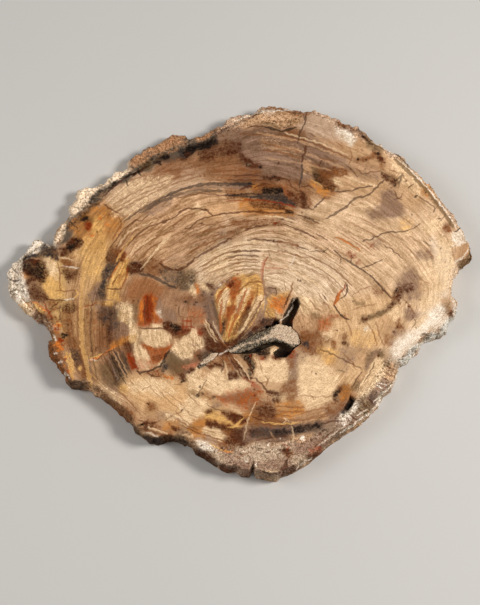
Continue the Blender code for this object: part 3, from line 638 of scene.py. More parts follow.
# Left of the pith: the red and cream blocks and the blue-grey stripes.
leftOfPithMarks = dict(patches=[
    ('clay', .95, 1.3, 140,302, 143,299, 145,295, 150,293, 153,295, 157,297, 156,304, 154,311, 156,314, 161,319,
        164,322, 160,325, 152,323, 146,325, 141,328, 138,325, 138,320, 140,310),
    ('orange', .9, 1, 140,302, 144,300, 144,320, 140,322, 139,312),
    ('orange', .9, 1, 151,297, 155,299, 154,309, 155,315, 151,312),
    ('rust', .9, 1.2, 145,296, 151,294, 153,300, 153,311, 152,322, 146,323, 143,312),
    ('pink', .7, 1.2, 153,319, 161,320, 163,323, 154,324), ('mauve', .8, 1.2, 156,297, 161,298, 162,307, 157,309),
    ('chalk', .6, .9, 156,312, 161,310, 162,318, 159,317),
    ('mauve', .65, 1.6, 160,308, 172,310, 178,320, 170,322, 163,321),
    ('mauve', .6, 2, 176,299, 196,298, 206,302, 206,310, 186,304),
    ('clay', .3, 2, 190,308, 203,310, 203,321, 190,321),
    ('cream', .8, 1.8, 117,305, 128,303, 132,310, 131,320, 120,321, 118,314),
    ('gold', .5, 1.6, 120,313, 128,314, 126,321, 120,320), ('gold', .6, 1.6, 104,301, 112,300, 112,306, 104,305),
    ('slate', .5, 2.2, 99,313, 103,308, 110,307, 117,310, 118,320, 115,327, 110,330, 111,322, 104,322, 99,318),
    ('mauve', .6, 1.5, 96,306, 104,307, 110,309, 102,311), ('walnut', .55, 1.8, 107,326, 112,327, 113,340, 108,344),
    ('mauve', .5, 2, 112,322, 130,324, 128,338, 114,338), ('umber', .4, 3, 88,312, 100,314, 104,345, 92,352),
    ('olive', .5, 2, 130,322, 128,306, 139,302, 138,320, 134,322),
    ('cream', .75, 1.3, 129,319, 134,322, 137,331, 138,345, 132,347, 131,336),
    ('gold', .8, 1.2, 130,336, 136,334, 136,342, 130,343), ('olive', .4, 1.5, 138,331, 142,331, 144,344, 138,344),
    ('cream', .95, 1.2, 141,330, 163,330, 168,333, 171,337, 168,343, 162,347, 154,348, 147,346, 142,341),
    ('cream', .95, .8, 151,323, 164,323, 164,328, 151,328),
    ('clay', .95, .9, 141,344, 147,345, 155,348, 163,348, 172,344, 170,350, 166,353, 164,359, 160,362, 154,361,
        150,356, 147,350),
    ('pink', .45, 1.6, 150,350, 162,350, 160,355, 152,354), ('walnut', .5, 1.2, 153,356, 163,355, 161,360, 154,359),
    ('cream', .95, 1.1, 132,348, 140,346, 146,351, 150,358, 151,366, 148,370, 139,370, 136,362),
    ('pink', .35, 2, 140,360, 150,362, 149,370, 138,370),
    ('cream', .9, .9, 152,366, 158,362, 165,360, 161,366, 154,368),
    ('rust', .95, 1, 127,353, 131,352, 134,358, 138,369, 132,370, 128,362),
    ('walnut', .6, 1.3, 124,343, 133,342, 134,351, 128,352),
    ('ochre', .65, 1.5, 110,345, 120,339, 129,336, 130,341, 120,345, 112,348),
    ('olive', .6, 3, 99,368, 112,360, 124,358, 129,372, 120,388, 104,384),
    ('slate', .5, 2, 110,358, 121,356, 127,370, 115,382), ('mauve', .55, 2, 104,376, 122,386, 118,396, 104,392),
    ('walnut', .9, 1.1, 163,323, 168,321, 174,323, 181,326, 190,331, 186,335, 178,338, 174,334, 167,330,
        163,328),
    ('dark', .75, 1.2, 169,324, 174,323, 178,327, 182,329, 178,332, 172,329),
    ('rust', .6, 1, 182,326, 191,330, 186,334, 178,337, 177,333),
    ('umber', .5, 1.6, 165,329, 174,334, 172,340, 167,336),
    ('cream', .85, 1.5, 170,349, 178,342, 186,336, 193,330, 199,330, 204,338, 206,344, 200,348, 192,351, 190,358,
        180,357),
    ('mauve', .6, 2, 192,338, 204,340, 206,350, 198,352), ('umber', .5, 1.6, 191,352, 200,350, 201,360, 193,360),
    ('olive', .65, 2, 166,358, 171,352, 178,357, 188,362, 196,365, 188,368, 180,372, 172,373, 168,365),
    ('slate', .7, 1.5, 160,366, 166,363, 169,368, 163,371), ('umber', .5, 1.6, 172,364, 186,366, 182,376, 174,374),
    ('rust', .95, 1, 197,329, 201,328, 204,333, 202,338, 198,336),
    ('pink', .8, .9, 181,368, 190,364, 199,362, 195,367, 187,369),
    ('walnut', .6, 1.8, 201,328, 210,326, 214,340, 205,341), ('clay', .55, 1.6, 150,361, 159,361, 157,368, 151,369),
    ('umber', .55, 2, 148,371, 162,371, 162,379, 150,379), ('walnut', .9, 1, 186,373, 190,369, 196,368, 192,373),
    ('walnut', .8, 1.1, 178,375, 184,374, 188,380, 184,382),
    ('walnut', .95, 1.6, 205,340, 213,335, 222,341, 230,350, 232,354, 222,356, 212,354, 206,350),
    ('dark', .5, 1.3, 198,356, 208,351, 216,350, 206,357, 199,360),
    ('olive', .5, 1.5, 210,347, 220,348, 222,353, 212,353),
    ('cream', .8, 1.8, 187,375, 198,368, 206,376, 205,386, 198,393, 189,389),
    ('ochre', .5, 1.6, 197,371, 204,371, 205,376, 199,377),
    ('umber', .45, 2, 176,300, 186,296, 204,296, 206,300, 190,302),
], lines=[
    ('walnut', .8, .7, 138,328, 150,328.6, 164,328), ('pink', .5, .7, 140,326, 152,327),
    ('dark', .7, .7, 179,307, 179,316), ('walnut', .45, 1.2, 148,296, 147,308, 148,321),
    ('dark', .9, 1.4, 170,350, 166,354, 164,361, 160,366, 154,369, 147,372),
    ('walnut', .8, 1, 147,371, 140,373, 137,371), ('rust', .6, .6, 183,318, 183,330),
    ('rust', .6, .6, 187,318, 187,329), ('rust', .6, .6, 191,318, 191,328), ('rust', .8, .7, 181,321, 192,321),
    ('rust', .7, .7, 182,326.5, 194,327), ('umber', .5, .6, 178,317, 198,317),
    ('orange', .85, 1.3, 90,360.5, 97,358, 104,354, 110,350, 116,345), ('gold', .8, .7, 90,359, 104,353),
    ('chalk', .35, .6, 90,360, 98,360), ('mauve', .5, .8, 100,300, 116,300),
    ('dark', .6, .7, 109,352, 114,362, 120,374, 126,384), ('tan', .6, .7, 112,350, 118,362, 124,374, 128,382),
    ('slate', .6, .8, 114,350, 120,362, 127,376), ('tan', .6, .7, 117,352, 123,364, 130,378),
    ('slate', .5, .8, 120,350, 126,362, 132,374), ('walnut', .5, .8, 104,356, 110,368, 116,382),
    ('dark', .5, .6, 123,352, 128,366), ('mauve', .5, .8, 106,354, 112,366, 118,380),
    ('walnut', .85, .8, 148,373, 152,376, 160,377), ('umber', .6, .7, 130,380, 134,385),
    ('umber', .5, .6, 142,390, 150,386), ('umber', .5, .6, 174,385, 182,384), ('walnut', .7, .7, 128,342, 131,352),
    ('cream', .6, .9, 206,320, 211,330, 217,340), ('cream', .6, .9, 213,322, 218,332, 224,343),
    ('walnut', .75, .9, 208,321, 212,329, 218,337), ('mauve', .6, 1, 210,306, 214,320, 222,340),
    ('slate', .4, 1.6, 212,300, 216,314, 222,332), ('cream', .4, .8, 204,322, 210,334, 216,342),
    ('umber', .6, .8, 174,338, 182,335, 190,331), ('mauve', .5, .6, 188,344, 198,346),
    ('umber', .4, .6, 190,336, 196,350), ('umber', .6, .7, 189,300, 188,312),
], spots=[
    ('rust', .8, 147,374,1, 158,374,1.2, 156,372,.9), ('orange', .95, 168,377,1.8, 172,378,1.8, 164,376,1.2),
    ('dark', .85, 183,381,1.4, 187,380,1, 200,387,1.5, 198,396,1.3, 186,302,1.1, 196,302,1),
    ('walnut', .7, 176,305,1, 194,305,1, 205,306,.9, 134,301,1.1, 138,300,1, 96,349,1.4, 92,343,1, 104,338,1),
    ('dark', .6, 104,314,1.3, 109,318,1.3, 106,311,1, 112,314,1, 103,324,1, 108,333,1.2),
], cracks=[
    (.6, .7, 97,360, 104,353, 112,351), (.5, .6, 145,324, 144,300), (.5, .6, 84,360, 96,361),
    (.6, .7, 137,372, 148,371),
])

# The golden fan, the stone round the crevice and the cream field below it.
fanMarks = dict(patches=[
    ('gold', .85, 1.5, 215,296, 220,288, 228,281, 236,275, 258,275, 262,281, 264,296, 264,303, 256,314, 248,328,
        240,338, 230,345, 224,345, 219,326, 216,310),
    ('umber', .5, 1.5, 215,300, 220,300, 222,322, 222,336, 218,326),
    ('ochre', .5, 2, 240,276, 258,275, 262,282, 262,292, 250,284, 244,287),
    ('clay', .95, 1.4, 224,284, 230,279, 236,277, 242,280, 241,287, 238,294, 236,301, 231,300, 229,293, 231,288),
    ('rust', .75, 1.2, 227,283, 233,281, 235,285, 230,287), ('walnut', .5, 1, 228,282, 233,281, 234,285, 230,286),
    ('cream', .98, 1.4, 221,296, 226,289, 230,291, 228,301, 224,313, 221,318, 219,311),
    ('cream', .75, 1.5, 238,296, 244,289, 251,287, 246,300, 238,314, 234,312),
    ('clay', .85, 1.6, 228,306, 235,304, 236,311, 230,317, 226,323, 224,318),
    ('rust', .45, 1.2, 229,306, 235,306, 233,312, 228,316),
    ('walnut', .8, 1.7, 224,318, 227,319, 226,327, 223,338, 218,336, 220,327),
    ('gold', .8, 1.4, 230,330, 238,316, 242,308, 244,312, 238,326, 231,340, 227,344),
    ('ochre', .6, 1.6, 252,283, 259,283, 262,291, 257,297, 251,303),
    ('clay', .7, 1.4, 251,292, 256,292, 252,301, 246,313, 243,312, 248,301),
    ('rust', .6, 1.2, 250,299, 253,299, 250,306, 244,316, 241,316, 247,304),
    ('umber', 1, 1, 244,307, 252,303, 251,314, 247,323, 241,331, 234,336, 229,338, 231,331, 236,323, 240,315),
    ('walnut', .6, 1, 246,308, 251,305, 250,314, 245,323, 239,331, 242,319),
    ('cream', .75, 1.4, 255,299, 262,295, 264,301, 258,309, 253,318, 247,328, 241,335, 235,340, 238,333, 245,322,
        250,311),
    ('ochre', .4, 1.6, 250,318, 255,319, 253,326, 248,326),
    ('mauve', .5, 1.6, 256,312, 262,305, 264,318, 260,330, 252,334, 246,334),
    ('slate', .25, 2, 203,292, 212,290, 214,300, 222,320, 224,342, 216,330, 206,312),
    ('mauve', .8, 2.4, 202,290, 212,290, 218,304, 220,320, 224,344, 214,334, 206,316),
    ('mauve', .75, 1.2, 211,292, 218,285, 226,280, 234,274, 240,275, 230,281, 220,289, 213,297),
    ('mauve', .7, 1.4, 266,288, 276,288, 277,298, 268,300),
    ('orange', .65, 2, 272,299, 280,297, 288,296, 285,305, 282,313, 276,312, 271,306),
    ('gold', .7, 1.6, 264,296, 272,300, 276,309, 274,317, 266,316, 262,306),
    ('gold', .6, 1.4, 270,296, 290,292, 288,298, 274,300),
    ('walnut', .8, 1.6, 261,318, 268,319, 278,318, 272,328, 262,328, 258,324),
    ('slate', .5, 1.4, 262,319, 272,320, 268,327, 262,326), ('cream', .9, .9, 275,311, 278,310, 281,317, 277,318),
    ('umber', .55, 1.6, 266,304, 272,308, 274,318, 268,316),
    ('olive', .75, 2, 232,340, 246,333, 262,330, 268,330, 266,334, 250,336, 240,344, 230,349),
    ('walnut', .95, 1.4, 218,340, 230,341, 231,350, 221,351),
    ('walnut', .9, 1.8, 226,346, 236,336, 250,328, 266,323, 272,326, 268,333, 256,336, 246,341, 234,348),
    ('slate', .55, 1.2, 236,342, 246,334, 258,329, 270,325, 272,328, 262,333, 250,337, 240,344),
    ('dark', .9, 1.2, 254,350, 262,348, 270,347, 270,354, 265,358, 258,355),
    ('rust', .8, 1, 260,356, 266,356, 264,360, 259,359),
    ('walnut', .95, 1.1, 272,358, 277,351, 286,349, 289,353, 285,358, 276,360),
    ('rust', .5, 1, 272,356, 278,354, 280,359, 273,360),
    ('cream', .85, 1, 270,349, 273,347, 277,350, 273,357, 271,354),
    ('dark', .85, 1.2, 238,354, 246,352, 252,353, 253,359, 256,366, 254,371, 250,378, 246,374, 250,368, 246,361,
        241,357),
    ('olive', .5, 1, 250,358, 255,364, 252,370),
    ('tan', .8, 1.1, 252,355, 257,357, 259,366, 257,376, 252,378, 254,371, 256,365),
    ('tan', .8, 1, 236,354, 242,356, 247,362, 250,370, 247,373, 243,366, 238,360),
    ('walnut', .9, 1, 236,361, 242,367, 248,374, 253,376, 247,380, 243,375, 238,368),
    ('walnut', .9, 1.2, 227,374, 234,371, 238,373, 242,378, 236,379, 229,381),
    ('tan', .6, 1.2, 222,361, 227,361, 229,372, 226,379, 222,371),
    ('umber', .65, 1.6, 207,361, 222,361, 223,368, 210,369), ('tan', .6, 2, 199,371, 226,370, 229,379, 200,380),
    ('walnut', .85, 1.2, 211,366, 215,363, 221,363, 222,367, 214,368),
    ('umber', .7, 1.8, 218,356, 232,354, 238,360, 236,370, 228,371, 224,362),
    ('cream', .9, 1.8, 205,379, 214,369, 222,371, 227,381, 237,379, 249,381, 252,387, 240,391, 228,395, 216,395,
        205,388),
    ('mauve', .8, 2.5, 216,397, 236,391, 250,388, 260,387, 261,396, 258,403, 240,403, 222,401),
    ('clay', .5, 2.5, 216,397, 236,391, 250,388, 260,387, 261,396, 258,403, 240,403, 222,401),
    ('umber', .7, 2.5, 226,398, 244,393, 260,392, 258,402, 240,402),
    ('rust', .6, 1.2, 243,378, 250,379, 258,385, 254,386, 248,382),
    ('cream', .95, 2, 262,362, 285,360, 289,374, 286,381, 270,382, 258,378, 256,370),
    ('tan', .6, 2, 258,383, 284,382, 284,390, 270,391),
    ('mauve', .8, 2, 287,356, 297,354, 298,372, 296,392, 284,392, 287,376),
    ('umber', .6, 2.2, 284,380, 298,380, 298,396, 280,394), ('rust', .8, 1.4, 288,352, 294,351, 294,358, 289,358),
    ('umber', .6, 1.5, 286,358, 292,358, 294,368, 288,370),
    ('walnut', .9, 1, 266,390, 274,391, 282,393, 278,396, 270,395),
], lines=[
    ('umber', .5, .8, 258,284, 256,300, 250,312), ('clay', .9, 1.4, 246,290, 240,308, 232,326, 228,338),
    ('clay', .8, 1.2, 222,300, 220,318, 221,332), ('clay', .7, 1, 234,300, 230,316, 226,332),
    ('walnut', .8, .9, 262,300, 252,320, 240,336, 232,344),
    ('umber', .8, .8, 238,294, 243,287, 249,283, 257,281, 263,284), ('rust', .7, .8, 216,301, 220,292, 226,287),
    ('rust', .6, 1, 217,304, 222,292, 225,288), ('umber', .6, .7, 232,300, 231,312, 225,326),
    ('umber', .7, .7, 242,296, 239,306, 234,318), ('umber', .75, .7, 264,298, 258,306, 252,315, 248,324),
    ('umber', .5, .7, 227,300, 225,312, 222,320), ('cream', .7, .7, 256,304, 250,314, 244,326),
    ('mauve', .6, .8, 262,306, 258,316, 250,330, 244,336),
    ('mauve', .8, 1.2, 263,276, 264,284, 266,296, 266,304, 264,312, 261,320),
    ('chalk', .6, .7, 265,296, 266,302, 264,310), ('rust', .6, .6, 264,288, 265,298),
    ('walnut', .75, .6, 268,288, 276,288, 276,295), ('umber', .8, 1, 292,283, 291,292, 288,298, 285,306),
    ('walnut', .7, .8, 289,294, 287,300, 284,308), ('umber', .6, .6, 284,282, 286,290),
    ('umber', .5, .6, 299,310, 294,316), ('orange', .5, .8, 268,302, 274,308),
    ('chalk', .9, .7, 295,298, 293,302, 292,308, 288,314, 284,318, 279,321), ('rust', .6, .7, 292,318, 292,326),
    ('chalk', .5, 1, 229,350, 224,352, 220,355), ('umber', .8, .8, 214,336, 221,341, 228,348),
    ('walnut', .8, 1, 198,364, 208,366, 214,366),
    ('walnut', .85, 1, 246,377, 256,379, 262,384, 266,390, 272,393, 280,393),
    ('umber', .5, .6, 258,384, 266,382, 270,377), ('mauve', .6, .8, 228,356, 234,366, 236,372),
    ('walnut', .6, .8, 232,356, 238,366), ('cream', .6, .9, 234,357, 240,364, 246,372, 250,379),
    ('walnut', .9, 1.2, 231,360, 237,368, 242,377), ('walnut', .9, 1.3, 244,359, 250,366, 253,374),
    ('cream', .5, .8, 225,362, 227,370, 227,378), ('cream', .45, .9, 254,357, 258,363, 258,370, 254,378),
    ('umber', .6, .6, 266,386, 268,380, 266,376), ('umber', .5, .6, 260,362, 262,372),
    ('pink', .5, 1, 252,384, 260,388, 264,394),
], spots=[
    ('rust', .95, 250,356,2, 251,359,1.2, 238,274,1, 290,355,1.6),
    ('dark', .85, 266,327,1.6, 269,328,1.5, 281,315,.9, 283,289,.5),
    ('walnut', .7, 218,384,.8, 254,390,1, 255,395,1, 224,381,.8, 268,398,1, 275,402,1.4),
    ('cream', .85, 238,341,1, 243,337,1.1, 248,334,1, 253,333,1.2, 259,330,1, 264,328,1.1, 246,339,.9, 256,335,.9,
        251,330,1, 241,344,.9),
    ('walnut', .8, 214,290,1, 218,287,1, 222,284,.9, 227,281,1, 232,278,.9, 212,294,.9),
    ('chalk', .8, 216,288,.9, 220,285,.9, 225,282,.9, 230,279,.8, 228,350,1.2, 229,347,.8, 232,352,.8,
        254,350,.9),
], cracks=[
    (.8, .8, 221,372, 224,366, 223,361), (.35, .6, 206,380, 202,388, 196,396), (.5, .7, 266,312, 272,318),
])

# Right of the crevice, and the pale wall at the lower right.
lowerRightMarks = dict(patches=[
    ('umber', .6, 2, 300,334, 306,330, 312,333, 318,331, 323,345, 321,353, 313,355, 305,351, 298,346),
    ('umber', .75, 1.4, 300,332, 306,331, 311,335, 316,333, 316,340, 308,342, 300,340),
    ('slate', .9, 1.3, 302,341, 308,341, 309,347, 303,347), ('mauve', .6, 1.6, 306,344, 320,344, 320,352, 310,354),
    ('mauve', .4, 2, 298,350, 306,352, 304,362, 298,362),
    ('clay', .4, 1.6, 317,328, 322,321, 326,316, 332,315, 345,316, 345,318, 334,318, 331,324, 326,330, 322,332),
    ('clay', .55, 2, 318,320, 330,318, 331,329, 322,331), ('cream', .6, 3, 298,298, 316,300, 318,311, 300,312),
    ('mauve', .5, 1.2, 328,316, 342,315, 340,318, 330,318), ('tan', .5, 3, 296,318, 316,316, 316,328, 296,330),
    ('olive', .5, 1.4, 310,314, 318,314, 319,319, 312,319),
    ('cream', .7, 1.5, 324,328, 334,327, 332,336, 326,340, 322,334),
    ('umber', .75, 1.3, 322,336, 327,334, 331,338, 328,343, 323,342),
    ('umber', .7, 1.2, 331,341, 335,341, 336,349, 333,350), ('umber', .75, 1.3, 341,335, 346,333, 348,338, 344,341),
    ('walnut', .95, 1, 341,341, 345,341, 349,345, 347,347, 343,344),
    ('gold', .4, 3, 320,348, 336,352, 334,362, 326,364, 322,356),
    ('ochre', .35, 2.5, 326,356, 334,358, 332,364, 327,363),
    ('mauve', .5, 2.5, 340,350, 350,348, 357,354, 354,361, 346,361, 340,357),
    ('mauve', .3, 3, 333,362, 346,362, 345,370, 334,370),
    ('gold', .3, 3, 352,333, 374,333, 376,342, 360,346, 353,342),
    ('mauve', .4, 2, 356,344, 366,346, 364,352, 356,350), ('tan', .4, 2.5, 358,352, 367,350, 366,362, 359,362),
    ('cream', .9, 1.5, 364,326, 369,325, 370,332, 365,333),
    ('cream', .5, 3, 300,366, 330,368, 338,380, 330,396, 312,402, 300,392),
    ('umber', .5, 2, 372,287, 380,284, 385,290, 380,295, 375,293),
    ('walnut', .9, 1.1, 361,321, 362,317, 368,318, 366,322),
    ('olive', .9, 1, 364,317, 370,315, 378,312, 386,309, 388,312, 380,316, 370,319),
    ('walnut', .8, 1.1, 384,312, 388,306, 394,300, 396,303, 390,310),
    ('olive', .6, 1.3, 353,300, 358,303, 364,301, 364,304, 355,305),
    ('cream', .7, 2, 389,310, 398,307, 402,314, 396,320, 390,317),
    ('mauve', .75, 1.8, 405,311, 412,309, 418,314, 418,322, 408,320, 403,316),
    ('umber', .6, 1.3, 395,322, 400,320, 403,328, 398,330), ('mauve', .55, 2, 390,328, 404,326, 404,334, 392,336),
    ('umber', .5, 1.6, 386,334, 396,338, 392,346, 384,344), ('cream', .5, 2, 420,298, 440,296, 438,308, 422,310),
    ('tan', .35, 3, 380,316, 396,320, 388,336, 378,330),
    ('chalk', .75, 2, 392,352, 396,344, 404,338, 414,331, 424,324, 432,312, 438,305, 446,310, 446,320, 440,327,
        430,330, 421,336, 414,344, 402,352, 397,360),
    ('cream', .6, 2, 412,322, 430,314, 428,326, 414,332),
    ('tan', .7, 1.6, 441,300, 448,297, 453,301, 452,308, 444,310),
    ('umber', .9, 1.4, 443,311, 450,309, 455,310, 454,316, 447,316),
    ('olive', .5, 1.2, 442,304, 450,302, 448,312, 441,312),
    ('chalk', .7, 1, 451,297, 456,303, 457,312, 454,316, 454,305),
    ('olive', .75, 1.6, 377,352, 384,350, 384,358, 379,359), ('olive', .5, 1.4, 382,360, 388,361, 390,367, 383,367),
    ('tan', .5, 1.6, 383,368, 392,364, 396,372, 392,380, 384,378),
    ('cream', .65, 2.5, 374,362, 382,360, 384,374, 374,386, 362,396, 360,392),
    ('mauve', .85, 1.5, 377,384, 384,378, 388,384, 386,392, 380,392, 375,389),
    ('mauve', .85, 1.6, 366,398, 374,390, 380,392, 379,402, 372,406),
    ('slate', .5, 1.4, 369,398, 376,392, 378,400, 372,404),
    ('olive', .6, 2, 356,402, 366,398, 372,406, 366,414, 352,416),
    ('chalk', .8, 1.2, 379,394, 382,393, 380,402, 377,405),
    ('chalk', .8, 1.5, 340,414, 348,411, 350,418, 344,424, 339,421),
    ('chalk', .8, 1.3, 350,410, 356,402, 359,403, 355,412, 351,414),
    ('mauve', .75, 1.8, 338,422, 356,412, 362,416, 352,426, 344,428),
    ('mauve', .85, 1.3, 371,352, 377,349, 379,353, 374,359, 371,366, 366,370, 364,369, 367,360),
    ('olive', .4, 1.3, 367,352, 374,352, 370,362, 366,366),
    ('olive', .55, 1.2, 352,387, 358,380, 360,382, 358,390, 353,391),
    ('umber', .85, 2.2, 338,386, 345,384, 350,388, 350,396, 344,400, 340,394),
    ('ochre', .55, 2.5, 340,388, 349,387, 349,396, 342,398),
    ('walnut', .9, 1.5, 333,396, 336,390, 340,386, 343,389, 338,394, 337,402, 334,401),
    ('dark', .6, 1, 334,394, 339,388, 340,391, 336,398),
    ('umber', .6, 2.5, 326,404, 342,398, 352,396, 350,404, 342,412, 330,414),
    ('slate', .75, 1.3, 341,412, 348,403, 352,402, 350,410, 344,414),
    ('mauve', .5, 2.5, 326,410, 342,404, 340,416, 328,420),
], lines=[
    ('rust', .85, .8, 346,283, 344,289, 340,293, 338,300, 334,305), ('rust', .95, 1.3, 338,294, 336,300, 334,306),
    ('orange', .6, 1.6, 341,290, 338,298, 335,304), ('walnut', .75, .7, 334,305, 337,310, 341,315, 345,318, 350,320),
    ('walnut', .75, .7, 347,284, 347,292, 345,296, 340,299), ('umber', .5, .7, 345,318, 349,326, 352,336),
    ('walnut', .75, .7, 323,295, 327,300), ('umber', .5, .6, 318,292, 324,302, 330,308),
    ('umber', .45, .6, 310,300, 316,308, 322,312), ('walnut', .6, .7, 320,349, 330,353, 342,359, 352,364, 362,369),
    ('umber', .5, .6, 342,352, 352,362, 356,370), ('cream', .8, .8, 373,363, 368,374, 363,382, 357,391),
    ('walnut', .6, .6, 375,362, 370,373, 364,382), ('walnut', .7, .7, 352,387, 357,379, 362,371),
    ('umber', .5, .6, 376,322, 379,334, 384,346), ('umber', .5, .6, 373,330, 375,338, 377,346),
    ('umber', .4, .6, 366,322, 372,330, 376,340), ('umber', .55, .7, 404,300, 410,306, 414,314),
    ('walnut', .5, .6, 412,316, 416,322, 412,328), ('umber', .5, .6, 394,296, 402,306),
    ('mauve', .8, 1, 388,382, 380,386, 374,390), ('chalk', .7, .7, 375,385, 384,389),
    ('chalk', .6, .7, 378,383, 387,385), ('walnut', .6, .8, 383,362, 389,363), ('walnut', .7, .8, 386,366, 394,370),
    ('walnut', .6, .7, 384,372, 392,376), ('walnut', .6, .7, 382,377, 389,381),
    ('umber', .6, .7, 384,290, 390,296, 394,300), ('umber', .4, .6, 352,296, 360,290, 372,286),
    ('umber', .4, .5, 352,310, 364,306, 376,304), ('umber', .5, .6, 310,395, 314,399),
    ('umber', .4, .6, 300,395, 316,397, 332,396), ('olive', .5, .7, 338,370, 346,372),
    ('chalk', .8, 1, 399,366, 397,378, 390,388, 382,394, 378,404, 370,413, 360,419, 352,426, 340,433),
    ('chalk', .5, .8, 356,416, 366,410), ('walnut', .6, .7, 354,406, 364,400), ('walnut', .7, .7, 346,418, 354,424),
    ('walnut', .7, .7, 350,415, 358,421), ('walnut', .6, .7, 358,408, 366,414), ('walnut', .6, .7, 362,403, 370,410),
    ('walnut', .6, .7, 368,398, 374,405), ('chalk', .6, .8, 374,402, 380,396),
], spots=[
    ('walnut', .8, 324,302,.7, 360,323,1, 368,317,1, 376,314,1, 406,303,1, 409,306,1, 416,328,.8, 398,326,1,
        402,331,.8, 394,332,.8, 420,299,.8),
    ('walnut', .7, 380,349,1.2, 378,356,1.2, 349,300,.7, 336,331,.8, 316,374,.7, 322,380,.7, 312,372,.8, 330,312,1,
        444,325,1, 424,332,.8),
    ('chalk', .9, 440,317,2, 408,346,2.5, 366,329,1.6), ('mauve', .7, 398,330,1.6, 360,350,2.2, 300,392,2),
], cracks=[
    (.7, .8, 334,305, 338,312, 343,317, 348,320), (.5, .6, 346,284, 348,290, 344,297), (.5, .5, 372,400, 364,408),
])

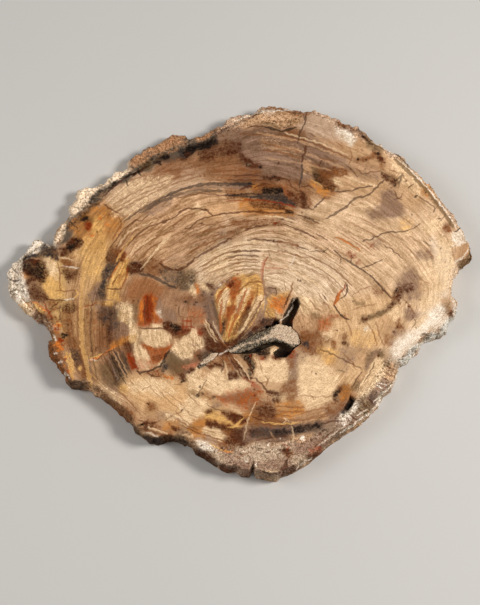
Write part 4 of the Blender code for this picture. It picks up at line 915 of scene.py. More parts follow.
# The lower left and the bottom, down to the crumbly bark.
bottomMarks = dict(patches=[
    ('umber', .55, 2, 148,405, 150,403, 156,408, 152,412, 147,410),
    ('tan', .5, 3, 134,418, 156,418, 162,426, 158,434, 140,430),
    ('umber', .35, 2.5, 148,420, 160,423, 160,432, 150,430),
    ('ochre', .55, 2, 163,424, 172,420, 178,424, 180,430, 170,432, 164,429),
    ('cream', .5, 2.5, 178,414, 186,413, 190,420, 184,423, 178,419),
    ('mauve', .5, 2, 156,412, 170,414, 168,420, 158,420),
    ('cream', .75, 2.2, 190,394, 204,400, 210,408, 196,414, 186,404),
    ('umber', .5, 1.5, 176,418, 190,424, 200,432, 190,432, 178,424),
    ('umber', .6, 1.5, 192,420, 201,421, 203,427, 194,427), ('cream', .6, 1.3, 176,430, 184,431, 192,436, 182,435),
    ('ochre', .6, 1.6, 188,428, 202,430, 205,438, 194,437),
    ('gold', .8, 1.4, 205,411, 214,411, 224,417, 234,424, 243,424, 238,428, 226,424, 214,419, 206,417),
    ('ochre', .7, 2, 192,420, 206,418, 222,422, 234,428, 226,430, 204,427, 194,426),
    ('walnut', .9, 1.4, 206,420, 220,423, 236,428, 238,431, 222,430, 206,426),
    ('clay', .5, 2, 222,413, 232,414, 246,422, 240,424, 228,418),
    ('walnut', .8, 1.3, 204,410, 212,409, 214,412, 208,414), ('walnut', .75, 1.3, 222,411, 230,412, 230,417, 223,415),
    ('mauve', .6, 1.8, 212,402, 220,402, 222,406, 214,408),
    ('clay', .5, 2.5, 222,402, 240,402, 250,406, 246,410, 232,408),
    ('cream', .8, 1.6, 226,404, 234,404, 244,411, 240,414, 230,410),
    ('ochre', .5, 2.5, 232,412, 250,414, 252,420, 240,421),
    ('umber', .7, 2.5, 250,404, 262,400, 276,404, 280,414, 276,420, 262,418, 250,416),
    ('walnut', .7, 1.6, 256,408, 266,405, 276,408, 272,418, 260,416),
    ('tan', .8, 1.5, 258,391, 268,392, 272,398, 266,401, 258,397),
    ('mauve', .5, 1.6, 262,398, 276,398, 274,404, 264,404),
    ('ochre', .6, 2, 276,402, 300,402, 304,412, 290,418, 278,416),
    ('ochre', .55, 2, 284,404, 302,405, 304,410, 288,411), ('walnut', .7, 1.2, 272,398, 280,397, 281,402, 274,402),
    ('umber', .75, 1.6, 286,396, 294,394, 296,402, 290,405),
    ('umber', .7, 2, 246,416, 262,418, 282,419, 290,421, 284,425, 268,426, 250,425),
    ('tan', .8, 2, 296,412, 322,410, 328,418, 306,423, 294,422),
    ('mauve', .6, 2.5, 244,426, 262,426, 280,428, 300,424, 322,421, 324,426, 304,432, 292,436, 262,441, 244,440),
    ('slate', .7, 1.8, 252,428, 268,429, 290,430, 300,426, 322,424, 320,429, 298,433, 270,437, 252,436),
    ('dark', .7, 1.5, 292,428, 306,425, 322,423, 322,427, 306,431, 294,432),
    ('dark', .5, 1.5, 274,431, 288,430, 288,435, 276,436), ('walnut', .65, 1.6, 248,429, 258,428, 260,434, 250,435),
    ('walnut', .75, 1.8, 232,430, 242,429, 244,440, 236,442, 230,437),
    ('umber', .65, 1.6, 221,431, 234,431, 234,441, 225,440),
    ('walnut', .6, 1.5, 224,438, 240,440, 248,444, 236,447, 226,443),
    ('cream', .85, 1.6, 205,428, 213,426, 220,430, 226,438, 220,440, 210,436, 204,433),
    ('mauve', .5, 1.3, 200,432, 210,436, 224,441, 214,442, 202,437),
    ('chalk', .95, 1.5, 196,442, 204,441, 210,444, 212,451, 200,449),
    ('umber', .6, 2, 218,440, 236,442, 234,450, 220,449), ('mauve', .5, 2.5, 222,448, 236,450, 238,458, 224,458),
    ('mauve', .8, 2, 228,461, 252,463, 252,472, 236,471), ('tan', .5, 2, 290,437, 304,433, 312,434, 308,439, 298,441),
    ('mauve', .7, 2.5, 258,463, 272,459, 288,458, 292,466, 282,473, 260,472),
    ('mauve', .85, 2.5, 296,441, 322,436, 328,444, 312,452, 294,454),
    ('umber', .8, 1.6, 284,450, 290,449, 293,453, 289,457, 284,454),
    ('walnut', .8, 1.2, 280,450, 288,449, 291,453, 287,455), ('rust', .4, 1.5, 310,449, 320,446, 322,452, 310,456),
    ('walnut', .7, 1.6, 306,456, 322,452, 324,458, 310,462), ('mauve', .7, 2, 240,466, 254,466, 254,478, 242,478),
    ('walnut', .6, 1.6, 280,468, 294,466, 300,468, 290,476, 280,476),
    ('mauve', .6, 1.6, 258,470, 270,471, 270,478, 260,478),
    ('walnut', .8, 1.6, 220,464, 230,467, 236,470, 228,474, 220,470),
    ('slate', .7, 2, 144,437, 160,438, 182,438, 192,446, 170,446, 150,442),
    ('walnut', .7, 2, 196,449, 210,453, 214,460, 200,456),
    ('umber', .5, 2, 100,390, 118,404, 134,420, 128,424, 108,402),
    ('umber', .5, 1.6, 108,398, 120,404, 134,412, 136,420, 128,418),
    ('cream', .5, 2, 100,384, 112,392, 122,402, 112,398), ('gold', .5, 1.6, 120,386, 128,384, 126,392, 120,392),
    ('umber', .5, 1.6, 190,394, 200,391, 214,392, 224,396, 210,398, 196,397),
    ('cream', .85, 1.4, 178,404, 196,408, 204,414, 196,418, 182,414),
    ('cream', .75, 2, 126,384, 150,378, 172,384, 160,390, 134,392),
    ('cream', .75, 1.3, 166,414, 174,412, 178,418, 168,421), ('cream', .85, 1.2, 180,418, 190,416, 194,422, 186,426),
    ('walnut', .75, 1.2, 140,424, 148,421, 152,427, 146,431), ('tan', .6, 1.2, 150,430, 160,431, 160,436, 152,436),
    ('umber', .7, 1.6, 160,431, 172,431, 172,441, 162,441),
    ('walnut', .7, 1.2, 170,424, 180,428, 190,434, 182,434, 172,430),
    ('umber', .75, 1.2, 146,403, 153,402, 156,409, 150,412),
    ('walnut', .85, 1.3, 224,411, 240,415, 250,421, 242,423, 234,422, 227,417),
    ('olive', .5, 1.8, 188,388, 196,390, 200,396, 192,398), ('cream', .5, 2, 140,388, 160,384, 176,392, 160,396),
], lines=[
    ('gold', .8, .9, 243,418, 236,426, 228,428), ('cream', .3, .5, 247,425, 245,434, 243,441),
    ('cream', .4, .7, 256,402, 251,412, 248,420, 246,426), ('umber', .7, .7, 204,434, 214,438, 224,441),
    ('umber', .5, .6, 206,430, 216,433), ('umber', .7, .8, 178,420, 188,426, 198,430),
    ('walnut', .6, .7, 182,426, 192,430, 200,434), ('chalk', .5, .8, 145,432, 152,434, 158,437),
    ('walnut', .75, .7, 183,409, 181,412), ('umber', .5, .6, 188,394, 194,400, 200,406),
    ('umber', .4, .5, 150,386, 154,392, 160,396), ('umber', .45, .5, 160,392, 170,402, 178,408),
    ('umber', .4, .5, 164,390, 174,398, 184,406), ('mauve', .4, .8, 166,412, 176,418, 182,420),
    ('umber', .6, .7, 276,406, 290,407, 304,407), ('umber', .6, .7, 278,411, 292,412, 304,411),
    ('umber', .6, .7, 278,415, 290,416), ('walnut', .7, .7, 252,416, 262,421, 276,423),
    ('umber', .5, .6, 300,414, 314,410, 330,407), ('umber', .5, .7, 306,418, 322,415, 336,410),
    ('umber', .6, .7, 286,420, 304,420, 326,416), ('cream', .6, .8, 284,418, 288,420, 283,423),
    ('gold', .6, .8, 262,422, 280,424, 300,423), ('walnut', .75, .8, 322,424, 332,421, 342,421),
    ('walnut', .6, .8, 256,440, 270,438, 288,436), ('tan', .4, .8, 270,432, 276,440),
    ('cream', .3, .6, 292,427, 294,436, 292,442), ('rust', .5, .7, 282,444, 290,447, 286,450),
    ('chalk', .35, .8, 352,420, 336,432, 326,440, 318,446), ('umber', .5, .8, 314,446, 330,436, 342,428),
    ('cream', .7, .7, 262,470, 270,472, 278,471), ('walnut', .6, .7, 324,438, 334,430),
    ('chalk', .45, .9, 296,470, 304,462, 312,458), ('umber', .5, .7, 236,458, 250,452),
    ('gold', .5, 1, 210,444, 222,450, 232,452), ('orange', .5, 1.2, 222,450, 232,453),
    ('umber', .45, .6, 176,412, 184,420, 190,424), ('umber', .4, .6, 184,408, 192,416, 200,418),
    ('umber', .4, .6, 166,420, 174,414, 182,412), ('walnut', .7, .7, 138,420, 150,424, 160,421),
    ('walnut', .6, .8, 138,428, 150,431, 160,434), ('cream', .6, 1, 148,427, 160,431, 168,434),
    ('walnut', .6, .6, 206,404, 216,409, 224,411), ('umber', .6, .6, 120,392, 132,404, 140,414),
], spots=[
    ('dark', .85, 141,425,1.6, 138,426,1.2, 148,405,1, 182,410,1, 198,395,1.6, 202,394,1.2, 214,398,1, 214,453,1,
        222,449,1.2),
    ('walnut', .7, 130,428,1, 156,427,1, 152,424,1, 204,452,1.2, 236,430,1, 288,455,1, 286,463,1, 278,459,1,
        250,458,1, 240,453,1, 262,449,1),
    ('chalk', .8, 256,465,1.5, 246,461,1.2, 268,446,1.4, 280,438,1, 302,438,2, 266,436,.7, 305,430,.8),
    ('rust', .6, 228,427,1.5, 270,427,1, 262,432,1.3, 254,396,1.2),
    ('walnut', .6, 300,448,1, 312,440,1, 320,434,1, 332,434,1, 296,460,1, 268,452,.9, 274,466,.9, 244,466,1),
], cracks=[
    (.8, .9, 291,455, 288,458, 286,463, 288,468), (1.1, .95, 253,466, 252,472, 253,478), (.6, .8, 253,458, 254,466),
    (.6, .7, 262,471, 270,474, 278,474), (.5, .6, 280,450, 292,450),
])

marks = [lobeMarks, upperLeftMarks, topMarks, topRightMarks, leftOfPithMarks, fanMarks,
         lowerRightMarks, bottomMarks]

# Closed rings read off the stone, from the pith outwards, in photograph pixels, across and down in turn.
pith = (256, 338)
growthRings = [
    [226,335, 235,300, 256,285, 285,300, 300,330, 285,360, 256,372, 230,360],
    [168,330, 175,290, 197,270, 215,258, 240,251, 262,251, 285,255, 310,266, 335,284, 350,305, 352,330, 340,360,
        320,385, 285,400, 245,400, 205,385, 178,362],
    [135,335, 140,300, 155,275, 187,262, 210,250, 232,238, 255,227, 283,224, 300,231, 317,239, 335,251, 360,269,
        380,284, 391,298, 396,315, 388,335, 365,365, 340,395, 305,412, 260,418, 215,412, 175,400, 150,375],
    [97,330, 100,298, 112,262, 125,232, 147,212, 180,190, 205,183, 240,186, 262,186, 290,192, 315,207, 345,213,
        385,235, 415,262, 430,285, 430,305, 405,335, 385,352, 365,375, 345,402, 315,425, 270,435, 225,430, 185,418,
        150,405, 118,385, 100,360],
    [52,330, 45,290, 60,240, 85,215, 103,200, 150,165, 190,145, 230,125, 265,110, 310,112, 350,130, 395,155, 430,185,
        455,215, 468,240, 460,270, 452,290, 445,310, 425,330, 400,350, 378,380, 350,410, 325,435, 280,470, 235,460,
        200,445, 150,435, 120,405, 75,375, 58,350],
]

# Openings in the face: two corners of a box round each, in metres, so that their walls can be told from the bark.
openings = [((-0.06, -0.118), (0.082, -0.012)), ((0.122, -0.174), (0.149, -0.142))]
openingFloor = 0.015

# Slab's shape, in metres. The longest edges say how finely the walls are cut up.
slab = dict(
    faceGrid=0.00176, undersideGrid=0.009, gridMargin=0.55,      # the margin is a share of the grid's squares
    longestBarkEdge=0.003, longestHollowEdge=0.0018,
    longestUnderEdge=0.006, underHeight=0.006,                  # for edges that lie below this height
    refineRounds=5, smoothing=0.4,
    barkRibs=0.0022, ribScale=190, ribUprightScale=30,
    barkLumps=0.002, lumpNoise=(260, 0.7, 2.1, 4),              # scale, fineness, lacunarity and octaves
    hollowLumps=0.0005, hollowNoise=(350, 0.8, 2.0, 3),
    calmRim=0.0015,                                             # the roughness fades out over this height
    sharpAngle=math.radians(50),
)

# How far apart points may lie, in metres, and still count as one point or as one height, and how far the walls keep
# from the two sawn faces.
samePoint = 0.000004
sameHeight = 0.00002
wallGap = 0.0001


def mergedCopy(node):
    mesh = bmesh.new()
    mesh.from_mesh(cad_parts[node].data)
    bmesh.ops.remove_doubles(mesh, verts=mesh.verts, dist=samePoint)
    return mesh


def inOpening(place):
    return place.z > openingFloor and any(
        low[0] < place.x < high[0] and low[1] < place.y < high[1] for low, high in openings)


def atHeight(verts, height):
    return all(abs(v.co.z - height) < sameHeight for v in verts)


def boundaryLoops(mesh, height):
    # closed loops of open edges at this height, each as a list of vertices
    edges = {edge for edge in mesh.edges if edge.is_boundary and atHeight(edge.verts, height)}
    loops = []
    while edges:
        edge = edges.pop()
        loop = [edge.verts[0], edge.verts[1]]
        while True:
            onward = next((e for e in loop[-1].link_edges if e in edges), None)
            if onward is None:
                break
            edges.remove(onward)
            loop.append(onward.other_vert(loop[-1]))
        loops.append(loop[:-1])
    return loops


def outlineDistance(points, outline):
    # distance of each point to a closed outline, positive inside it
    start = np.asarray(outline, float).reshape(-1, 2)
    end = np.roll(start, -1, axis=0)
    nearest = np.full(len(points), np.inf)
    inside = np.zeros(len(points), bool)
    for (ax, ay), (bx, by) in zip(start, end):
        along = np.array([bx - ax, by - ay])
        share = np.clip(((points - (ax, ay)) @ along) / max(along @ along, 1e-12), 0, 1)
        gap = points - (ax, ay) - share[:, None] * along
        nearest = np.minimum(nearest, (gap ** 2).sum(axis=1))
        if ay != by:
            crosses = (points[:, 1] < ay) != (points[:, 1] < by)
            inside ^= crosses & (points[:, 0] < (bx - ax) * (points[:, 1] - ay) / (by - ay) + ax)
    return np.where(inside, 1, -1) * np.sqrt(nearest)


def fillCap(mesh, height, spacing, upwards):
    # fills the open loops at this height with a square grid and a strip of triangles round it
    loops = boundaryLoops(mesh, height)
    outer = max(loops, key=lambda loop: max(v.co.x for v in loop) - min(v.co.x for v in loop))
    rim = np.array([v.co.xy for v in outer])
    low, high = rim.min(axis=0) - spacing, rim.max(axis=0) + spacing
    counts = [int(math.ceil((high[k] - low[k]) / spacing)) for k in (0, 1)]
    middle = (low + high) / 2
    place = Matrix.Translation((middle[0], middle[1], height)) @ Matrix.Diagonal(
        (counts[0] * spacing / 2, counts[1] * spacing / 2, 1, 1))
    grid = bmesh.ops.create_grid(mesh, x_segments=counts[0], y_segments=counts[1], size=1, matrix=place)['verts']
    spots = np.array([v.co.xy for v in grid])
    room = outlineDistance(spots, rim)
    for loop in loops:
        if loop is not outer:
            room = np.minimum(room, -outlineDistance(spots, [v.co.xy for v in loop]))
    margin = spacing * slab['gridMargin']
    bmesh.ops.delete(mesh, geom=[v for v, gap in zip(grid, room) if gap < margin], context='VERTS')
    grid = [v for v in grid if v.is_valid]
    while True:     # points where two corners of the grid only touch go too
        pinched = [v for v in grid if sum(edge.is_boundary for edge in v.link_edges) > 2 or not v.link_faces]
        if not pinched:
            break
        bmesh.ops.delete(mesh, geom=pinched, context='VERTS')
        grid = [v for v in grid if v.is_valid]
    rims = [edge for edge in mesh.edges if edge.is_boundary and atHeight(edge.verts, height)]
    bmesh.ops.triangle_fill(mesh, edges=rims, use_beauty=True, normal=(0, 0, 1 if upwards else -1))
    cap = [face for face in mesh.faces if atHeight(face.verts, height)]
    bmesh.ops.reverse_faces(mesh, faces=[face for face in cap if (face.normal.z > 0) != upwards])


def fractalLumps(spot, numbers):
    scale, fineness, lacunarity, octaves = numbers
    return noise.fractal(spot * scale, fineness, lacunarity, octaves)


def roughenWalls(mesh):
    # upright ribs and lumps on everything between the two sawn faces
    mesh.normal_update()
    low, high = cadBox
    across, upright = slab['ribScale'], slab['ribUprightScale']
    for vert in mesh.verts:
        spot = vert.co
        if atHeight([vert], 0) or atHeight([vert], faceHeight):
            continue
        if inOpening(spot):
            push = slab['hollowLumps'] * fractalLumps(spot, slab['hollowNoise'])
        else:
            ribs = noise.noise(Vector((spot.x * across, spot.y * across, spot.z * upright)))
            push = slab['barkRibs'] * ribs + slab['barkLumps'] * fractalLumps(spot, slab['lumpNoise'])
        push *= min(1, (faceHeight - spot.z) / slab['calmRim'])
        moved = spot + vert.normal * push
        vert.co = Vector([min(max(moved[k], low[k]), high[k]) for k in range(3)])
        vert.co.z = min(max(vert.co.z, wallGap), faceHeight - wallGap)


def longestEdge(edge):
    if all(inOpening(v.co) for v in edge.verts):
        return slab['longestHollowEdge']
    above = max(v.co.z for v in edge.verts) > slab['underHeight']
    return slab['longestBarkEdge'] if above else slab['longestUnderEdge']


def cutUp(mesh, edges):
    bmesh.ops.subdivide_edges(mesh, edges=edges, cuts=1)
    bmesh.ops.triangulate(mesh, faces=[face for face in mesh.faces if len(face.verts) > 3])


def shapeSlab():
    mesh = mergedCopy('fossil_wood_slab')
    caps = [face for face in mesh.faces if atHeight(face.verts, faceHeight) or atHeight(face.verts, 0)]
    bmesh.ops.delete(mesh, geom=caps, context='FACES')
    for step in range(slab['refineRounds']):
        cutUp(mesh, [edge for edge in mesh.edges if edge.calc_length() > longestEdge(edge)])
    bark = [v for v in mesh.verts if wallGap < v.co.z < faceHeight - wallGap and not inOpening(v.co)]
    bmesh.ops.smooth_vert(
        mesh, verts=bark, factor=slab['smoothing'], use_axis_x=True, use_axis_y=True, use_axis_z=True)
    roughenWalls(mesh)
    print('bark refined:', len(mesh.faces), 'faces')
    fillCap(mesh, faceHeight, slab['faceGrid'], True)
    fillCap(mesh, 0.0, slab['undersideGrid'], False)
    openEdges = sum(not edge.is_manifold for edge in mesh.edges)
    print('slab shaped:', sum(len(face.verts) - 2 for face in mesh.faces), 'triangles,', openEdges, 'open edges')
    return mesh


# How far outlines wander from the ones above, over how many pixels, and the seed of the wandering.
wander = dict(grounds=(2.5, 22, 1), hidden=(7, 30, 31), soaked=(1.5, 11, 21), weathered=(1.5, 9, 11),
              marks=(0.7, 7, 3), lines=(0.5, 6, 5))


def wobble(points, size, seed):
    # a smooth uneven value, about -1 to 1, that changes over this many pixels
    draw = np.random.default_rng(seed)
    total = np.zeros(len(points))
    for wave in range(9):
        angle, phase, stretch = draw.uniform(0, math.tau), draw.uniform(0, math.tau), draw.uniform(0.6, 1.6)
        along = points @ np.array([math.cos(angle), math.sin(angle)])
        total += np.sin(along * math.tau / (size * stretch) + phase)
    return total / 3


def uneven(points, amount, size, seed):
    return points + amount * np.stack([wobble(points, size, seed), wobble(points, size, seed + 1)], axis=1)


def lineDistance(points, line):
    # for each point: its distance to a line, the side it lies on, how far past an end, and how far from the ends
    spots = np.asarray(line, float).reshape(-1, 2)
    nearest = np.full(len(points), np.inf)
    side, past, inward = np.ones(len(points)), np.zeros(len(points)), np.zeros(len(points))
    lengths = np.hypot(*(spots[1:] - spots[:-1]).T)
    total, run = lengths.sum(), 0.0
    for k, (a, b, length) in enumerate(zip(spots, spots[1:], lengths)):
        along = (b - a) / length
        offset = points - a
        reach = offset @ along
        held = np.clip(reach, 0, length)
        distance = np.sqrt(((offset - held[:, None] * along) ** 2).sum(axis=1))
        closer = distance < nearest
        nearest[closer] = distance[closer]
        side[closer] = np.sign(along[0] * offset[:, 1] - along[1] * offset[:, 0])[closer]
        over = np.zeros(len(points))
        if k == 0:
            over = np.maximum(over, -reach)
        if k == len(lengths) - 1:
            over = np.maximum(over, reach - length)
        past[closer] = over[closer]
        inward[closer] = np.minimum(run + held, total - run - held)[closer]
        run += length
    return nearest, side, past, inward


def near(points, outline, margin):
    spots = np.asarray(outline, float).reshape(-1, 2)
    low, high = spots.min(axis=0) - margin, spots.max(axis=0) + margin
    return np.flatnonzero(((points > low) & (points < high)).all(axis=1))


def polar(offset):
    return np.arctan2(offset[:, 1], offset[:, 0]), np.hypot(offset[:, 0], offset[:, 1])


def growthCoordinates(pixels):
    # direction from the pith, and ring number from 0 at the pith to the number of rings at the rim
    angle, radius = polar(pixels - pith)
    rings = [np.zeros(len(pixels))]
    for ring in growthRings:
        angles, radii = polar(np.array(ring, float).reshape(-1, 2) - pith)
        order = np.argsort(angles)
        rings.append(np.interp(angle, angles[order], radii[order], period=math.tau))
    level = np.zeros(len(pixels))
    for k in range(len(growthRings)):
        step = np.maximum(rings[k + 1] - rings[k], 4)     # rings are at least 4 pixels apart
        level = np.where(radius >= rings[k], k + (radius - rings[k]) / step, level)
    return np.stack([np.cos(angle), np.sin(angle), np.minimum(level, len(growthRings) + 1)], axis=1)


# How colours and stains are laid on the stone, in pixels of the photograph.
painting = dict(
    plainColour=(198, 155, 116), plainBanding=0.6,               # where there is no ground
    hiddenFeather=8,                                             # what a ground's feather grows by on hidden walls
    soakedFeather=2.5, soakedSoftness=1.5, soakedStrength=0.6,   # stains soak softly into the stone round them
    furthest=3.0, giveWay=0.4,                                   # stain strengths go from -furthest to furthest
    patchEdge=1.25, patchReach=3,                                # both times the softness of the patch
    crispEdge=0.8, crispReach=5, spotReach=4,
)

# Thin lines, in pixels of the photograph. Each goes into a channel that no other line near it uses.
thinLines = dict(
    lineChannels=6, crackChannels=2, empty=9.0,
    reach=6, crowded=4.6, crowding=0.08,    # a channel is free with under this share of the close points taken
    fadeFrom=4.3, fade=1.2, endFade=1.6, depthPower=0.65,
    endWidth=0.45, endLength=9,             # lines taper to this share of their width over this length
)


def insideShare(points, outline, feather):
    return np.clip(outlineDistance(points, outline) / (2 * feather) + 0.5, 0, 1)


def groundFields(pixels, hidden):
    # hidden is 1 on walls that the photograph doesn't show, where the colours run softly into each other
    warped = uneven(pixels, *wander['grounds']) + hidden[:, None] * (uneven(pixels, *wander['hidden']) - pixels)
    soaked = uneven(pixels, *wander['soaked'])
    plain = np.array([*linearColour(*painting['plainColour']), painting['plainBanding']])
    colour = np.tile(plain, (len(pixels), 1))
    for screen, banded, feather, outline in grounds.values():
        spots = near(warped, outline, feather + painting['hiddenFeather'] + 1)
        share = insideShare(warped[spots], outline, feather + painting['hiddenFeather'] * hidden[spots])
        share = (share * share * (3 - 2 * share))[:, None]
        colour[spots] += (np.array([*linearColour(*screen), banded]) - colour[spots]) * share
    for region in marks:
        for stain, strength, soft, *outline in region['patches']:
            feather = painting['soakedFeather'] + soft * painting['soakedSoftness']
            spots = near(soaked, outline, feather)
            share = insideShare(soaked[spots], outline, feather)[:, None] * strength * painting['soakedStrength']
            colour[spots, :3] += (np.array(linearColour(*stains[stain])) - colour[spots, :3]) * share
    return colour[:, :3], colour[:, 3]


def weatheredField(pixels):
    warped = uneven(pixels, *wander['weathered'])
    furthest = painting['furthest']
    field = np.full(len(pixels), -furthest)
    for outline in weathered.values():
        spots = near(warped, outline, furthest)
        field[spots] = np.maximum(field[spots], outlineDistance(warped[spots], outline).clip(-furthest, furthest))
    return field


def lay(fields, stain, spots, value, strength):
    # lays a mark over the ones before it: its own stain grows and the others give way
    value = np.clip(value, -painting['furthest'], painting['furthest']).clip(max=2 * strength - 1)
    own = stainNames.index(stain)
    grown = np.maximum(fields[own, spots], value)
    fields[:, spots] = np.minimum(fields[:, spots], painting['giveWay'] - value)
    fields[own, spots] = grown


def takeChannel(channels, warped, line, width, depth, colour):
    # stores a thin line by its side distance in a channel that no line close by uses, and tells whether one was free
    spots = near(warped, line, thinLines['reach'])
    distance, side, past, inward = lineDistance(warped[spots], line)
    close = distance < thinLines['crowded']
    busy = [(close & (channel[spots, 2] > 0)).sum() for channel in channels]
    if min(busy) > thinLines['crowding'] * max(close.sum(), 1):
        return False
    channel = channels[busy.index(min(busy))]
    share = np.clip((thinLines['fadeFrom'] - distance) / thinLines['fade'], 0, 1)
    share *= np.clip(1 - past / thinLines['endFade'], 0, 1) * depth ** thinLines['depthPower']
    taper = np.clip(thinLines['endWidth'] + inward / thinLines['endLength'], 0, 1)
    take = (distance < thinLines['reach']) & (share >= channel[spots, 2])
    chosen = spots[take]
    channel[chosen, 0] = (distance * side)[take]
    channel[chosen, 1] = (width * taper)[take]
    channel[chosen, 2] = share[take]
    channel[chosen, 3:] = colour
    return True


def emptyChannels(count, pixels):
    # side distance, half width and depth of a line, then its colour
    return [np.tile([thinLines['empty'], 0, 0, 0, 0, 0], (len(pixels), 1)) for k in range(count)]


def markFields(pixels):
    warped = uneven(pixels, *wander['marks'])
    fine = uneven(pixels, *wander['lines'])
    fields = np.full((len(stainNames), len(pixels)), -painting['furthest'])
    lineChannels = emptyChannels(thinLines['lineChannels'], pixels)
    crackChannels = emptyChannels(thinLines['crackChannels'], pixels)
    spread = 0
    for region in marks:
        for stain, strength, soft, *outline in region['patches']:
            spots = near(warped, outline, soft * painting['patchReach'])
            value = outlineDistance(warped[spots], outline) / (soft * painting['patchEdge'])
            lay(fields, stain, spots, value, strength)
        for stain, strength, width, *line in region['lines']:
            if not takeChannel(lineChannels, fine, line, width, strength, linearColour(*stains[stain])):
                spots = near(fine, line, painting['crispReach'])
                distance = lineDistance(fine[spots], line)[0]
                lay(fields, stain, spots, (width - distance) / painting['crispEdge'], strength)
                spread += 1
        for stain, strength, *dots in region['spots']:
            for x, y, radius in zip(dots[::3], dots[1::3], dots[2::3]):
                spots = near(warped, [x, y], radius + painting['spotReach'])
                distance = np.hypot(*(warped[spots] - (x, y)).T)
                lay(fields, stain, spots, (radius - distance) / painting['crispEdge'], strength)
        for width, depth, *line in region['cracks']:
            takeChannel(crackChannels, fine, line, width, depth, linearColour(*crackColour))
    print('marks laid, with', spread, 'lines spread into stains')
    return fields, lineChannels + crackChannels


def storeVector(data, name, values):
    attribute = data.attributes.new(name, 'FLOAT_VECTOR', 'POINT')
    attribute.data.foreach_set('vector', np.ascontiguousarray(values, np.float32).ravel())


# How the walls are told apart, in metres. The hidden ones face away from the photograph's camera.
walls = dict(
    hiddenTurn=3, hiddenDepth=0.006,
    # Openings get painted shade: it starts at leastShade just below the face and grows to full over shadeDepth below
    # shadeTop.
    hollowTop=0.0003, shadeTop=0.001, shadeDepth=0.005, leastShade=0.25,      # openings darken as they go down
    sawnSkin=0.00005,
)


def paintSlab(data):
    points = np.empty(len(data.vertices) * 3, np.float32)
    data.vertices.foreach_get('co', points)
    points = points.reshape(-1, 3).astype(float)
    height = points[:, 2].copy()
    seen = points.copy()
    seen[height < wallGap, 2] = faceHeight     # the underside shows the same wood, sawn through
    pixels = pixelsOf(seen)
    storeVector(data, 'growth', growthCoordinates(pixels))
    normals = np.array([v.normal[:] for v in data.vertices])
    hidden = (normals[:, 1] * walls['hiddenTurn']).clip(0, 1) * (height > wallGap)
    hidden *= ((faceHeight - height) / walls['hiddenDepth']).clip(0, 1)
    ground, banding = groundFields(pixels, hidden)
    storeVector(data, 'ground', ground)
    fields, channels = markFields(pixels)
    for k in range(0, len(stainNames), 3):
        storeVector(data, 'stains' + str(k // 3), fields[k:k + 3].T)
    for k, channel in enumerate(channels):
        storeVector(data, 'line' + str(k), channel[:, :3])
        storeVector(data, 'lineColour' + str(k), channel[:, 3:])
    # where the openings lie, with painted shade that deepens further down
    hollowAndPaintedShade = np.array([inOpening(v.co) and v.co.z < faceHeight - walls['hollowTop'] for v in data.vertices], float)
    hollowAndPaintedShade *= ((faceHeight - height - walls['shadeTop']) / walls['shadeDepth']).clip(walls['leastShade'], 1)
    underside = height < walls['sawnSkin']
    sawn = (height > faceHeight - walls['sawnSkin']) | underside
    bark = np.where(sawn | (hollowAndPaintedShade > 0), 0.0, 1.0)
    storeVector(data, 'surface', np.stack([bark, hollowAndPaintedShade, underside], axis=1))
    storeVector(data, 'zone', np.stack([banding, weatheredField(pixels), height * 0], axis=1))


# Noises of the stone. Those of the rings run round the pith: how often they change along and through the rings, and
# their detail. The others have scale, detail and roughness.
ringNoises = dict(broad=(3, 9, 3.0), fine=(3.5, 23, 2.0), long=(2.2, 7, 3.0), hair=(4, 15, 3.0), rays=(95, 12, 2.0))
blockNoises = dict(mottle=(150, 5.0, 0.68), ragged=(380, 4.0, 0.7), dust=(800, 3.0, 0.75), crazing=(42, 3.0, 0.6),
                   crags=(105, 3.0, 0.6), pits=(360, 4.0, 0.68))
fluteNoise = (300, 3.0, 0.6)
fluteStretch = 0.15

# Looks of the stone. Strengths stand beside the noise they belong to. A ramp says where it starts and ends and, when
# they aren't 0 and 1, the values there. A shade says how light it is and how warm.
stoneLook = dict(
    tone=1.05, grain=dict(broad=0.8, fine=1.1, rays=0.7), blotches=dict(mottle=0.9, dust=1.7),
    groundWarmth=0.5, groundBanding=1.3, groundSpeckle=dict(ragged=0.5),
    stainWarmth=0.35, stainGrain=0.3, stainBanding=0.4, stainBlotches=1.1, stainSpeckle=dict(ragged=0.9),
    stainEdge=dict(ragged=4.0, mottle=3.5, dust=3.0), stainEdgeGrain=1.1, stainRamp=(-1.2, 1.2),
    stainCover=(1.15, 1.6, 0.8, 1.0),
    threadSeams=dict(long=(0.05, 1.0), hair=(0.06, 0.75)),      # width and strength
    threadBreaks=(0.85, 1.1, 0.35, 1.0), threadBanding=0.1, threadMost=0.95, threadShade=(0.38, 0.3),
    crazingWidth=0.014, crazingRamp=(0.48, 0.56), crazingStrength=0.65, crazingShade=(0.4, 0.3),
    fleckRamp=(0.6, 0.7), fleckStrength=0.7, fleckShade=(0.42, 0.2),
    glintRamp=(0.6, 0.72), glintStrength=0.45, glintShade=(1.3, 0.3),
    hollowPaintedShade=0.12,
    lineWaver=dict(ragged=1.2), lineGirth=(0.3, 0.7, 0.35, 1.05), lineEdge=0.6, lineBreaks=(0.25, 0.65, 0.55, 1.0),
    lineWarmth=0.3,
    weatherEdge=dict(mottle=3), weatherRamp=(-1, 1),
    crustTone=0.2, crustWarmth=0.2, crustDust=dict(dust=2.4),
    # The crust ramps give both its own colour and painted shade: it darkens where crags, pits and flutes sink, as its
    # bumps do.
    crustToneAndShadeRamps=dict(crags=(0.32, 0.48, 0, 0.3), pits=(0.38, 0.58, 0, 0.7), flutes=(0.36, 0.56, 0, 0.35)),
    specular=0.14, roughness=0.36, crustRoughness=0.5, hollowRoughness=0.4, undersideRoughness=0.3,
    polishMarks=dict(mottle=0.15),
    grooveDepth=0.7, faceRelief=dict(dust=0.1), crustRelief=dict(pits=4.0, crags=7.0, flutes=5.0),
    reliefDistance=0.0006, reliefStrength=0.8,
)


